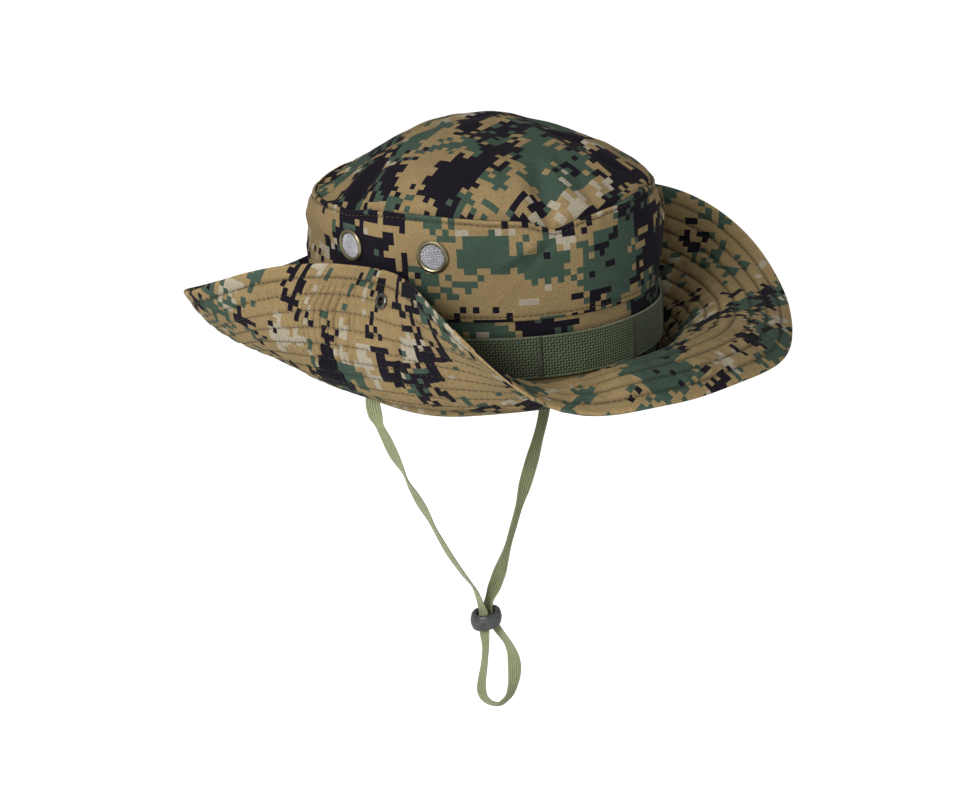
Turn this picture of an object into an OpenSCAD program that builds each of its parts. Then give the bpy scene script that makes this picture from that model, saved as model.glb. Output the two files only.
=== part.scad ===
// Boonie hat: soft crown with a wide quilted brim whose two sides are snapped up,
// a webbing band, four vents, two brim eyelets and a chin strap with a sliding bead.
// Millimetres, +Z up, front of the hat towards -Y, wearer's right towards -X.
// The origin is the centre of the head opening, in the plane where crown and brim meet.
// Angles round the head run from the front (0) over the wearer's left (90) to the back (180).

/* [Crown] */
// Half length of the head opening, front to back (58 cm head with seam ease)
open_a = 100; // [96:0.5:104]
// Half width of the head opening, side to side
open_b = 84; // [81:0.5:87]
// Height of the seam between the crown wall and the crown top
top_seam_z = 99.8; // [94:0.2:106]
// Height of the topstitched seam between the lower band and the upper wall
low_seam_z = 48.7; // [46:0.1:52]
// Rise of the soft crown top above its seam
dome_h = 34; // [26:1:40]
// Thickness of one fabric panel of the crown
cloth_t = 1.4; // [1:0.1:1.6]

/* [Brim] */
// Width of the brim along its surface
brim_w = 83.2; // [78:0.2:86]
// Thickness of each cloth ply of the brim
ply_t = 0.8; // [0.6:0.1:0.9]
// Thickness of the interlining between the plies
lining_t = 1.4; // [1:0.1:1.6]
// How much lower the brim slopes behind the left ear, in degrees
back_sag = 6.9; // [0:0.1:8]
// Air gap that keeps the plies of the brim separate
ply_gap = 0.06; // [0.04:0.01:0.1]
// Distance from the middle of the hat to the fold line of each side flap
fold_x = 86.5; // [86:0.1:88]
// Width of the gap cut along each fold line
fold_gap = 1.5; // [1.2:0.1:2]

/* [Webbing and bands] */
// Height of the lower edge of the branch-loop webbing
web_z0 = 16; // [14:0.5:18]
// Width of the branch-loop webbing
web_w = 22.5; // [20:0.5:25]
// Thickness of the webbing
web_t = 1.4; // [1:0.1:1.6]
// Number of bartacks that divide the webbing into branch loops
tacks = 10; // [6:2:12]
// How far the sweatband hangs below the head opening
sweat_drop = 3; // [2:0.5:4]
// Height of the sweatband's upper edge
sweat_top = 32; // [28:1:36]
// Thickness of the folded sweatband
sweat_t = 1.6; // [1.2:0.1:1.8]

/* [Vents and eyelets] */
// Height of the vent centres
vent_z = 81.5; // [78:0.5:84]
// Distance of each vent centre in front of and behind the side line
vent_y = 26; // [24:0.5:28]
// Outside diameter of a vent ring
vent_od = 17.6; // [17:0.1:18]
// Inside diameter of a vent ring
vent_id = 13; // [12.4:0.1:13.4]
// Inside diameter of a brim eyelet
eyelet_id = 4.8; // [4.4:0.1:5]
// Outside diameter of a brim eyelet's flange
eyelet_od = 8.4; // [8:0.1:9]
// Distance of the brim eyelet from the rim
eyelet_in = 15.2; // [14:0.1:17]
// Place of the brim eyelets round the head, in degrees from the front
eyelet_p = 85.2; // [82:0.2:92]

/* [Chin strap] */
// Width of the flat braided strap
strap_w = 7.2; // [6.6:0.1:7.6]
// Thickness of the strap
strap_t = 1.1; // [0.9:0.1:1.2]
// How far behind the side line the strap ends are sewn
strap_y = 18; // [16:0.5:20]
// Height of the bead's centre when the hat hangs free
bead_z = -163; // [-170:1:-155]
// Outside diameter of the bead
bead_d = 17.5; // [16.5:0.1:18]
// Height of the bead
bead_h = 9.5; // [9:0.1:10.5]
// Diameter of the bead's hole
bead_hole = 8.8; // [8.7:0.1:9.2]
// Length of the strap loop below the bead
loop_l = 48; // [42:1:54]

/* [Hidden] */

khaki = [0.63, 0.54, 0.38];
khaki_dark = [0.51, 0.45, 0.32];
leaf = [0.28, 0.36, 0.30];
olive = [0.20, 0.22, 0.17];
strap_green = [0.47, 0.50, 0.33];
brass_col = [0.62, 0.54, 0.36];
mesh_grey = [0.58, 0.58, 0.59];
eyelet_grey = [0.42, 0.42, 0.40];
bead_col = [0.13, 0.14, 0.14];

ring_facets = 96;       // facets of the wall and every band on it
dome_facets = 60;
layer_gap = 0.06;       // clearance between stacked layers
wall_inset = 0.8;       // outer face of the crown cloth, inside the opening's edge
wall_a = open_a - wall_inset;
wall_b = open_b - wall_inset;

// ---------- the crown's elliptical wall ----------
// "out" is always a distance outward from the outer face of the crown cloth.
function ellipse(half_l, half_w, facets) =
    [for (i = [0:facets-1]) let (angle = 360 * i / facets)
        [half_w * sin(angle), -half_l * cos(angle)]];
function wall_outline(out) = ellipse(wall_a + out, wall_b + out, ring_facets);

// Band of the given thickness whose outer face lies at "out"
module wall_ring(out, thick, z0, z1)
    translate([0, 0, z0]) linear_extrude(z1 - z0)
        difference() {
            polygon(wall_outline(out));
            polygon(wall_outline(out - thick));
        }

// Angle round the left side of the point at distance y behind the side line
function side_angle(y, out = 0) = 90 + asin(y / (wall_a + out));

// Puts a child on the wall: its +Z points outward and its +X down
module on_wall(angle, z, out = 0) {
    half_l = wall_a + out;
    half_w = wall_b + out;
    translate([half_w * sin(angle), -half_l * cos(angle), z])
        rotate([0, 0, atan2(-cos(angle) / half_l, sin(angle) / half_w)])
            rotate([0, 90, 0]) children();
}
module on_right() mirror([1, 0, 0]) children();

// ---------- lofted solids ----------
// Two triangles between neighbouring loops at first indices a and b. The second half of a loop
// runs back along the other side of the sheet, so it is cut along the other diagonal and both
// sides stay parallel.
function quad_faces(a, b, j, k, back) =
    back ? [[a + j, b + j, a + k], [b + j, b + k, a + k]]
         : [[a + j, b + j, b + k], [a + j, b + k, a + k]];
// Side faces of the first "spans" gaps between the loops; the last loop wraps to the first
function side_faces(loops, spans) = let (n = len(loops), m = len(loops[0]))
    [for (i = [0:spans-1]) for (j = [0:m-1])
        each quad_faces(i * m, ((i + 1) % n) * m, j, (j + 1) % m, 2 * j >= m)];
function all_points(loops) = [for (section = loops) for (point = section) point];

// Solid through closed loops of points that join end to end
module ring_solid(loops)
    polyhedron(points = all_points(loops), faces = side_faces(loops, len(loops)));

// Solid through closed loops of points, with a flat cap at each end
module bar_solid(loops) {
    n = len(loops);
    m = len(loops[0]);
    polyhedron(points = all_points(loops),
        faces = concat([[for (j = [0:m-1]) j]],
                       [[for (j = [m-1:-1:0]) (n - 1) * m + j]],
                       side_faces(loops, n - 1)));
}

// ---------- crown ----------
// Stations of the dome, as shares of its radius
dome_shares = [0.06, 0.2, 0.34, 0.48, 0.62, 0.75, 0.86, 0.94, 0.985, 1];
function dome_z(share) = dome_h * pow(1 - pow(share, 2.2), 1.2);
// Loop at the given scale of the wall's outline, "depth" below the dome's outer face
function dome_loop(scaling, share, depth) =
    [for (q = ellipse(wall_a * scaling, wall_b * scaling, dome_facets))
        [q[0], q[1], top_seam_z + layer_gap + max(dome_z(share) - depth, 0)]];

// Dome shell: inner face from the middle to the rim, then back over the outer face
module crown_top() color(khaki) bar_solid(concat(
    [for (share = dome_shares) dome_loop(share * (1 - cloth_t / wall_b), share, cloth_t)],
    [for (i = [len(dome_shares)-1:-1:0]) dome_loop(dome_shares[i], dome_shares[i], 0)]));

module crown_wall() color(khaki_dark) difference() {
    wall_ring(0, cloth_t, low_seam_z + layer_gap, top_seam_z);
    at_vents() translate([0, 0, -4]) cylinder(h = 8, d = vent_id + 1.9, $fn = 48);
}
module crown_lower_band() color(khaki)
    wall_ring(0, cloth_t, 0.4, low_seam_z);

// Tapes over the seams, inside the cloth
tape_t = 0.6;
tape_out = -cloth_t - layer_gap;
module top_seam_tape() color(olive)
    wall_ring(tape_out, tape_t, top_seam_z - 6, top_seam_z - 0.5);
module low_seam_tape() color(olive)
    wall_ring(tape_out, tape_t, low_seam_z - 5, low_seam_z + 5);

// The sweatband stands clear inside the lower band, with room for the strap ends
strap_room = 1.4;
sweat_out = -cloth_t - strap_room;
module sweatband() color(leaf)
    wall_ring(sweat_out, sweat_t, -sweat_drop, sweat_top);

// Blank label at the back, inside the seam tape and just above the sweatband
label_w = 32;
label_h = 18;
label_z0 = sweat_top + 1;
module size_label() color("white") intersection() {
    wall_ring(tape_out - tape_t - layer_gap, 0.4, label_z0, label_z0 + label_h);
    translate([-label_w / 2, 0, 0]) cube([label_w, 200, 100]);
}

// ---------- webbing ----------
web_out = layer_gap + web_t;
first_tack = -7;        // degrees from the front
tack_w = 2;
tack_margin = 1;        // from the webbing's edges
module webbing_band() color(olive)
    wall_ring(web_out, web_t, web_z0, web_z0 + web_w);
module webbing_bartacks() color(olive * 0.7)
    for (i = [0:tacks-1])
        on_wall(first_tack + 360 * i / tacks, web_z0 + web_w / 2, web_out)
            translate([-web_w / 2 + tack_margin, -tack_w / 2, 0.05])
                cube([web_w - 2 * tack_margin, tack_w, 0.5]);

// ---------- vents ----------
vent_ri = vent_id / 2;
vent_ro = vent_od / 2;
vent_back = -cloth_t - 1.2;     // inner end of the barrel
washer_t = 0.45;
vent_washer_ri = vent_ri + 0.66;
module at_vents()
    for (side = [-1, 1], y = [-vent_y, vent_y])
        on_wall(side * side_angle(y), vent_z) children();

// Barrel through the cloth with a rounded flange outside; points are [radius, outward]
module vent_rings() color(brass_col) at_vents() rotate_extrude($fn = 64) polygon([
    [vent_ri, vent_back], [vent_ri + 0.6, vent_back],
    [vent_ri + 0.6, 0.12], [vent_ro - 0.25, 0.12],
    [vent_ro, 0.4], [vent_ro - 0.15, 0.95], [vent_ro - 0.8, 1.4],
    [vent_ri + 0.9, 1.5], [vent_ri + 0.25, 1.25], [vent_ri, 0.8]]);
module vent_screens() color(mesh_grey) at_vents()
    translate([0, 0, -0.6]) cylinder(h = 0.5, d = vent_id - 0.1, $fn = 64);
module vent_washers() color(brass_col * 0.8) at_vents() rotate_extrude($fn = 64) polygon([
    [vent_washer_ri, vent_back], [vent_ro, vent_back],
    [vent_ro, vent_back + washer_t], [vent_washer_ri, vent_back + washer_t]]);

// ---------- brim surface ----------
// The slope of the brim depends on the angle round the head and on the share of its width,
// from 0 at the crown to 1 at the rim. The front and back droop, and both sides curl up and
// in towards the crown. The cloth hangs a little lower behind the wearer's left ear.
// Factors, in radians, of cos(0), cos(angle), cos(2 * angle) and so on
mid_terms = [0.758, -0.188, -0.584, 0.089, 0.166];      // slope at half width
turn_terms = [0.343, -1.719, -1.004, -0.164, 0.386];    // turn from crown to rim
sag_angle = 166;        // middle of the sag
sag_spread = 22;        // degrees
function cosine_sum(terms, angle) =
    180 / PI * (terms * [for (i = [0:len(terms)-1]) cos(i * angle)]);
function slope_mid(angle) = cosine_sum(mid_terms, angle)
    - back_sag * exp(-pow((angle - sag_angle) / sag_spread, 2));
function slope_turn(angle) = cosine_sum(turn_terms, angle);
function slope(angle, share) = slope_mid(angle) + slope_turn(angle) * (share - 0.5);

// [outward, up] of the top surface: the slope turns evenly, so the section is an arc
function brim_arc(angle, share) = let (
        turn = slope_turn(angle),
        safe_turn = abs(turn) < 0.01 ? 0.01 : turn,     // avoids a division by zero
        radius = brim_w * 180 / PI / safe_turn,
        start = slope_mid(angle) - safe_turn / 2,
        end = start + safe_turn * share)
    [radius * (sin(end) - sin(start)), radius * (cos(start) - cos(end))];
function unit(v) = v / norm(v);
// Outward direction of the head opening
function outward(angle) = unit([sin(angle) / open_b, -cos(angle) / open_a]);
// Point of the brim, "depth" below its top surface
function brim_pt(angle, share, depth = 0) = let (
        section = brim_arc(angle, share),
        tilt = slope(angle, share),
        dir = outward(angle),
        out = section[0] + depth * sin(tilt))
    [open_b * sin(angle) + out * dir[0],
     -open_a * cos(angle) + out * dir[1],
     section[1] - depth * cos(tilt)];

// ---------- fold lines ----------
function side_x(angle, share) = abs(brim_pt(angle, share)[0]);
// Greatest distance of the brim's outer half from the middle of the hat
function reach(angle) = max([for (share = [0.5:0.125:1]) side_x(angle, share)]);
// First share, in even steps, that lies beyond the limit
function first_past(angle, limit, share = 0.02) =
    share >= 1 ? 1
    : side_x(angle, share) > limit ? share
    : first_past(angle, limit, share + 0.02);
// Share at which the brim crosses the limit, by bisection
function bisect(angle, limit, low, high, step = 0) = let (mid = (low + high) / 2)
    step > 16 ? mid
    : side_x(angle, mid) < limit ? bisect(angle, limit, mid, high, step + 1)
    : bisect(angle, limit, low, mid, step + 1);
// Share at which the brim first crosses the limit, or 1 where it never does
function fold_share(angle, limit) =
    reach(angle) <= limit ? 1 : bisect(angle, limit, 0, first_past(angle, limit));

fold_inner = fold_x - fold_gap / 2;
fold_outer = fold_x + fold_gap / 2;
flap_min = 1.2;         // how far past the fold the brim must reach to start a flap
function flap_end(angle, step) =
    reach(angle) > fold_outer + flap_min ? angle : flap_end(angle + step, step);
left_ends = [flap_end(30, 0.5), flap_end(152, -0.5)];
// The right flap is built on the left a full turn on, out of reach of the sag, and mirrored
right_ends = [flap_end(390, 0.5), flap_end(512, -0.5)];

// ---------- brim ----------
// [upper, lower] depth of each layer below the top surface
brim_t = 2 * ply_t + lining_t + 2 * ply_gap;
top_layer = [0, ply_t];
lining_layer = [ply_t + ply_gap, ply_t + ply_gap + lining_t];
under_layer = [brim_t - ply_t, brim_t];

crown_share = 0.006;    // where the brim starts
width_steps = 8;
fixed_steps = 84;
flap_steps = 44;

// Cross-section of one layer between two shares of the width
function layer_loop(angle, from, to, layer) = concat(
    [for (i = [0:width_steps])
        brim_pt(angle, from + (to - from) * i / width_steps, layer[0])],
    [for (i = [width_steps:-1:0])
        brim_pt(angle, from + (to - from) * i / width_steps, layer[1])]);

// The part that stays with the crown: front, back and a thin strip at each side
module fixed_brim(layer)
    ring_solid([for (i = [0:fixed_steps-1]) let (angle = 360 * i / fixed_steps)
        layer_loop(angle, crown_share, fold_share(angle, fold_inner), layer)]);

// The flap beyond the fold line, between two angles, with its eyelet hole
module flap(ends, layer) difference() {
    bar_solid([for (i = [0:flap_steps])
        let (angle = ends[0] + (ends[1] - ends[0]) * i / flap_steps)
            layer_loop(angle, fold_share(angle, fold_outer), 1, layer)]);
    at_eyelet() translate([0, 0, -brim_t - 3])
        cylinder(h = brim_t + 6, d = eyelet_id + 1.3, $fn = 32);
}

module brim_top_ply() color(khaki) fixed_brim(top_layer);
module brim_interlining() color("gainsboro") fixed_brim(lining_layer);
module brim_under_ply() color(khaki_dark) fixed_brim(under_layer);
module brim_left_top_ply() color(khaki) flap(left_ends, top_layer);
module brim_left_interlining() color("gainsboro") flap(left_ends, lining_layer);
module brim_left_under_ply() color(khaki_dark) flap(left_ends, under_layer);
module brim_right_top_ply() color(khaki) on_right() flap(right_ends, top_layer);
module brim_right_interlining() color("gainsboro") on_right() flap(right_ends, lining_layer);
module brim_right_under_ply() color(khaki_dark) on_right() flap(right_ends, under_layer);

// ---------- brim eyelets ----------
// Frame on the left flap: X towards the rim, Z out of the top surface
eyelet_share = 1 - eyelet_in / brim_w;
eyelet_x = unit(brim_pt(eyelet_p, eyelet_share + 0.01) - brim_pt(eyelet_p, eyelet_share - 0.01));
eyelet_z = unit(cross(eyelet_x,
    brim_pt(eyelet_p + 1, eyelet_share) - brim_pt(eyelet_p - 1, eyelet_share)));
eyelet_y = cross(eyelet_z, eyelet_x);
eyelet_at = brim_pt(eyelet_p, eyelet_share);
module at_eyelet()
    multmatrix([for (i = [0:2]) [eyelet_x[i], eyelet_y[i], eyelet_z[i], eyelet_at[i]]])
        children();

eyelet_ri = eyelet_id / 2;
eyelet_ro = eyelet_od / 2;
// Barrel through the brim with a domed flange on the underside cloth, which faces out when
// the side is up; points are [radius, height over the top surface]
module eyelet() at_eyelet() rotate_extrude($fn = 48) polygon([
    [eyelet_ri, -brim_t - 0.8], [eyelet_ri + 0.3, -brim_t - 1.15],
    [eyelet_ro - 0.5, -brim_t - 1.05], [eyelet_ro, -brim_t - 0.65],
    [eyelet_ro - 0.1, -brim_t - 0.4], [eyelet_ri + 0.5, -brim_t - 0.4],
    [eyelet_ri + 0.5, 0.9], [eyelet_ri, 0.9]]);
module eyelet_washer() at_eyelet() rotate_extrude($fn = 48) polygon([
    [eyelet_ri + 0.56, 0.45], [eyelet_ro, 0.45],
    [eyelet_ro - 0.2, 0.85], [eyelet_ri + 0.56, 0.85]]);
module brim_left_eyelet() color(eyelet_grey) eyelet();
module brim_right_eyelet() color(eyelet_grey) on_right() eyelet();
module brim_left_eyelet_washer() color(eyelet_grey * 0.8) eyelet_washer();
module brim_right_eyelet_washer() color(eyelet_grey * 0.8) on_right() eyelet_washer();

// ---------- strap ends ----------
strap_x = wall_b * sqrt(1 - pow(strap_y / wall_a, 2)) - cloth_t - 0.75;
pivot_z = -7;           // where the hanging strap swings
sewn_h = 16;
sewn_gap = 0.08;        // clearance to the lower band and the sweatband

// Right end, trimmed to the space between the lower band and the sweatband
module sewn_end() intersection() {
    translate([-strap_x - strap_t / 2, strap_y - strap_w / 2, pivot_z + strap_w / 2 + 0.4])
        cube([strap_t, strap_w, sewn_h]);
    translate([0, 0, -50]) linear_extrude(200) difference() {
        polygon(wall_outline(-cloth_t - sewn_gap));
        polygon(wall_outline(sweat_out + sewn_gap));
    }
}
module strap_end_right() color(strap_green) sewn_end();
module strap_end_left() color(strap_green) mirror([1, 0, 0]) sewn_end();

// Bartacks that hold the strap ends, on the inner face of the sweatband
sweat_in = sweat_out - sweat_t;
strap_tack_h = 1.6;
module strap_tacks() color(olive)
    for (side = [-1, 1], z = [5, 11])
        on_wall(side * side_angle(strap_y, sweat_in), z, sweat_in)
            translate([-strap_tack_h / 2, -strap_w / 2, -0.5])
                cube([strap_tack_h, strap_w, 0.4]);

// ---------- chin strap ----------
// Middle line: down the right side, round the loop under the bead, up the left side
arm_steps = 26;
loop_steps = 22;
bead_y = strap_y - 5.8;
strand_x = 1.1;         // distance of each strand from the middle, at the bead
loop_bulge = 9.5;       // sideways swell of the loop
bead_reach = bead_h / 2 + 1;    // arms end and the loop starts this far from the bead's centre
arm_l = pivot_z - (bead_z + bead_reach);
// t runs from 0 at the pivot to 1 above the bead
function arm_pt(t, side) =
    [side * (strap_x - (strap_x - strand_x) * pow(t, 1.45)),
     bead_y + (strap_y - bead_y) * pow(1 - t, 4),
     pivot_z - arm_l * t];
// t runs from 0 to 1 round the loop
function loop_pt(t) =
    [(t < 0.5 ? -1 : 1) * strand_x * pow(abs(cos(180 * t)), 0.5)
        - loop_bulge * sin(360 * t) * (0.55 + 0.45 * sin(180 * t)),
     bead_y,
     bead_z - bead_reach - loop_l * sin(180 * t)];
path = concat([for (i = [0:arm_steps]) arm_pt(i / arm_steps, -1)],
              [for (i = [1:loop_steps-1]) loop_pt(i / loop_steps)],
              [for (i = [arm_steps:-1:0]) arm_pt(i / arm_steps, 1)]);
function tangent(i) = unit(path[min(i + 1, len(path) - 1)] - path[max(i - 1, 0)]);
// Direction through the strap's thickness
function across(i) = let (dir = tangent(i)) unit([dir[2], 0, -dir[0]]);

module chin_strap() color(strap_green) union() {
    bar_solid([for (i = [0:len(path)-1])
        let (mid = path[i], thick = across(i) * strap_t / 2, wide = [0, strap_w / 2, 0])
            [mid - thick - wide, mid + thick - wide, mid + thick + wide, mid - thick + wide]]);
    // rounded ends, concentric with the swing of the strap
    for (side = [-1, 1])
        translate([side * strap_x - strap_t / 2, strap_y, pivot_z]) rotate([0, 90, 0])
            cylinder(h = strap_t, d = strap_w, $fn = 48);
}

// Bead with a straight hole and a rounded outside
hole_r = bead_hole / 2;
bulge_mid = hole_r + 1.6;       // radius at which the outer curve is centred
bulge_r = bead_d / 2 - bulge_mid;
module cord_slider() color(bead_col)
    translate([0, bead_y, bead_z]) rotate_extrude($fn = 64) polygon(concat(
        [[hole_r, -bead_h / 2 + 1], [hole_r, bead_h / 2 - 1]],
        [for (i = [0:16]) let (angle = 110 - 220 * i / 16)
            [max(bulge_mid + bulge_r * cos(angle), hole_r + 0.3), bead_h / 2 * sin(angle)]]));

// ---------- the hat ----------
crown_top();
crown_wall();
crown_lower_band();
top_seam_tape();
low_seam_tape();
sweatband();
size_label();
webbing_band();
webbing_bartacks();
vent_rings();
vent_screens();
vent_washers();
brim_top_ply();
brim_interlining();
brim_under_ply();
brim_right_top_ply();
brim_right_interlining();
brim_right_under_ply();
brim_left_top_ply();
brim_left_interlining();
brim_left_under_ply();
brim_right_eyelet();
brim_left_eyelet();
brim_right_eyelet_washer();
brim_left_eyelet_washer();
strap_end_right();
strap_end_left();
strap_tacks();
chin_strap();
cord_slider();
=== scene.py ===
import bpy, bmesh, math
import numpy as np
from mathutils import Vector, Matrix


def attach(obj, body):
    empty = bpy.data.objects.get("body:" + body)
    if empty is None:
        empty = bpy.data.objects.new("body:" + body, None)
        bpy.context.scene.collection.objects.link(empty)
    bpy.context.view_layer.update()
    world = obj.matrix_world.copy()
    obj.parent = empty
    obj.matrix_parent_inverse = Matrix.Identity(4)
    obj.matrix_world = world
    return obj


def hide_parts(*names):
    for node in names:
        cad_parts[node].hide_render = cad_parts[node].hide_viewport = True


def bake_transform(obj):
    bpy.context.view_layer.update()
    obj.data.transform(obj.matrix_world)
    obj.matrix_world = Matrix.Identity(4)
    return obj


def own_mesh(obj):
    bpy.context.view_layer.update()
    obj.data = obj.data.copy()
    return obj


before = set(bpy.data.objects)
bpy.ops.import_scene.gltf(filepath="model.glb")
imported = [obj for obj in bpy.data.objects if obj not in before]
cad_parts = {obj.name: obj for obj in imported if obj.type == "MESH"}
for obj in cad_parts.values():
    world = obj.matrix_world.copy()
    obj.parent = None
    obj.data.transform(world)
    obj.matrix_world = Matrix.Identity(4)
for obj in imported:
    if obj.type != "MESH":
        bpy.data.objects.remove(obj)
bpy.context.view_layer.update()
MM = 0.001
PI = math.pi

# ------------------------------------------------------------------ helpers
def srgb(r, g, b):
    f = lambda c: (c / 255 / 12.92) if c / 255 <= 0.04045 else ((c / 255 + 0.055) / 1.055) ** 2.4
    return (f(r), f(g), f(b), 1.0)


def hash01(ix, iy, seed):
    """Repeatable numbers in 0..1 for integer lattice points."""
    h = (ix.astype(np.int64) * 374761393 + iy.astype(np.int64) * 668265263 + seed * 1442695041) & 0xFFFFFFFF
    h = ((h ^ (h >> 13)) * 1274126177) & 0xFFFFFFFF
    h = ((h ^ (h >> 16)) * 2246822519) & 0xFFFFFFFF
    return (h ^ (h >> 15)).astype(float) / 4294967295.0


def vnoise(x, y, seed=0, wrap=None):
    """Smooth noise in -1..1; with wrap, x repeats after that many cells."""
    x, y = np.broadcast_arrays(np.asarray(x, float), np.asarray(y, float))
    ix, iy = np.floor(x).astype(int), np.floor(y).astype(int)
    fx, fy = x - ix, y - iy
    fx, fy = fx * fx * fx * (fx * (fx * 6 - 15) + 10), fy * fy * fy * (fy * (fy * 6 - 15) + 10)
    w = (lambda i: np.mod(i, wrap)) if wrap else (lambda i: i)
    a, b = hash01(w(ix), iy, seed), hash01(w(ix + 1), iy, seed)
    c, d = hash01(w(ix), iy + 1, seed), hash01(w(ix + 1), iy + 1, seed)
    return ((a * (1 - fx) + b * fx) * (1 - fy) + (c * (1 - fx) + d * fx) * fy) * 2 - 1


def smooth(x, a, b):
    t = np.clip((x - a) / (b - a), 0, 1)
    return t * t * (3 - 2 * t)


def mesh_obj(name, V, Q, uv=None, attrs=None, mat=None, tris=None, sharp=None):
    """Object from vertices in millimetres, quads (m,4) and triangles (k,3); uv is per corner of the quads, then of the triangles."""
    me = bpy.data.meshes.new(name)
    V = np.asarray(V, float).reshape(-1, 3) * MM
    Q = np.asarray(Q, np.int32).reshape(-1, 4)
    T = np.asarray(tris if tris is not None else [], np.int32).reshape(-1, 3)
    me.vertices.add(len(V)); me.vertices.foreach_set("co", V.astype(np.float32).ravel())
    idx = np.concatenate([Q.ravel(), T.ravel()]).astype(np.int32)
    me.loops.add(len(idx)); me.loops.foreach_set("vertex_index", idx)
    me.polygons.add(len(Q) + len(T))
    starts = np.concatenate([np.arange(len(Q)) * 4, len(Q) * 4 + np.arange(len(T)) * 3]).astype(np.int32)
    me.polygons.foreach_set("loop_start", starts)
    me.update(calc_edges=True)
    if uv is not None:
        layer = me.uv_layers.new(name="UVMap")
        layer.data.foreach_set("uv", np.asarray(uv, np.float32).reshape(-1, 2).ravel())
    for k, a in (attrs or {}).items():
        at = me.attributes.new(k, "FLOAT", "POINT")
        at.data.foreach_set("value", np.asarray(a, np.float32).ravel())
    me.polygons.foreach_set("use_smooth", np.ones(len(me.polygons), bool))
    me.validate(clean_customdata=False)
    o = bpy.data.objects.new(name, me)
    bpy.context.scene.collection.objects.link(o)
    if mat:
        me.materials.append(mat)
    return o


def grid_faces(nu, nv, closed_u=False, closed_v=False):
    """Quads of a nu x nv grid of points, and the (u, v) index of each corner without wrapping."""
    iu = np.arange(nu if closed_u else nu - 1)
    iv = np.arange(nv if closed_v else nv - 1)
    U, W = np.meshgrid(iu, iv, indexing="ij")
    U, W = U.ravel(), W.ravel()
    corners = [(U, W), (U + 1, W), (U + 1, W + 1), (U, W + 1)]
    Q = np.stack([(a % nu) * nv + (b % nv) for a, b in corners], -1)
    cu = np.stack([a for a, b in corners], -1)
    cv = np.stack([b for a, b in corners], -1)
    return Q, cu, cv


def grid_obj(name, P, uvgrid=None, closed_u=False, closed_v=False, attrs=None, mat=None, flip=False, caps=False):
    """P is (nu, nv, 3) mm; uvgrid is (nu[+1], nv[+1], 2) in metres."""
    nu, nv = P.shape[:2]
    Q, cu, cv = grid_faces(nu, nv, closed_u, closed_v)
    if flip:
        Q, cu, cv = Q[:, ::-1], cu[:, ::-1], cv[:, ::-1]
    uv = uvgrid[cu, cv].reshape(-1, 2) if uvgrid is not None else None
    if caps:
        # cross-section loops at both ends, closed by strips between j and nv-1-j
        h = nv // 2
        j = np.arange(h - 1)
        c0 = np.stack([j, j + 1, nv - 2 - j, nv - 1 - j], -1)
        b = (nu - 1) * nv
        c1 = c0[:, ::-1] + b
        if flip:
            c0, c1 = c0[:, ::-1], c1[:, ::-1]
        Q = np.concatenate([Q, c0, c1])
        if uv is not None:
            e0 = uvgrid[np.zeros_like(c0), c0].reshape(-1, 2)
            e1 = uvgrid[np.full_like(c1, uvgrid.shape[0] - 1), c1 - b].reshape(-1, 2)
            uv = np.concatenate([uv, e0, e1])
    return mesh_obj(name, P.reshape(-1, 3), Q, uv, attrs, mat)


def tube(points, radius, sides=6, closed=False, up=(0, 0, 1), flat=1.0):
    """Vertices and quads of a tube along points (n,3) mm; flat scales its thickness along up."""
    P = np.asarray(points, float)
    n = len(P)
    T = np.gradient(P, axis=0) if not closed else (np.roll(P, -1, 0) - np.roll(P, 1, 0))
    T /= np.linalg.norm(T, axis=1, keepdims=True) + 1e-12
    upv = np.broadcast_to(np.asarray(up, float), P.shape)
    S = np.cross(T, upv); S /= np.linalg.norm(S, axis=1, keepdims=True) + 1e-12
    W = np.cross(S, T)
    a = np.arange(sides) * 2 * PI / sides
    r = np.broadcast_to(np.asarray(radius, float), (n,))
    V = P[:, None] + r[:, None, None] * (np.cos(a)[None, :, None] * S[:, None] + flat * np.sin(a)[None, :, None] * W[:, None])
    Q, _, _ = grid_faces(n, sides, closed, True)
    V = V.reshape(-1, 3)
    if not closed:
        c0, c1 = len(V), len(V) + 1
        V = np.concatenate([V, P[:1], P[-1:]])
        k = np.arange(sides)
        e = (n - 1) * sides
        t0 = np.stack([np.full(sides, c0), k, (k + 1) % sides], -1)
        t1 = np.stack([np.full(sides, c1), e + (k + 1) % sides, e + k], -1)
        return V, Q, np.concatenate([t0, t1])
    return V, Q, np.zeros((0, 3), int)


class Bag:
    """Collects many small solids into one mesh."""
    def __init__(self): self.V, self.Q, self.T, self.n = [], [], [], 0
    def add(self, V, Q, T=None):
        self.V.append(V); self.Q.append(np.asarray(Q) + self.n)
        if T is not None and len(T): self.T.append(np.asarray(T) + self.n)
        self.n += len(V)
    def obj(self, name, mat, attrs=None):
        T = np.concatenate(self.T) if self.T else None
        return mesh_obj(name, np.concatenate(self.V), np.concatenate(self.Q), None, attrs, mat, T)


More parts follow.
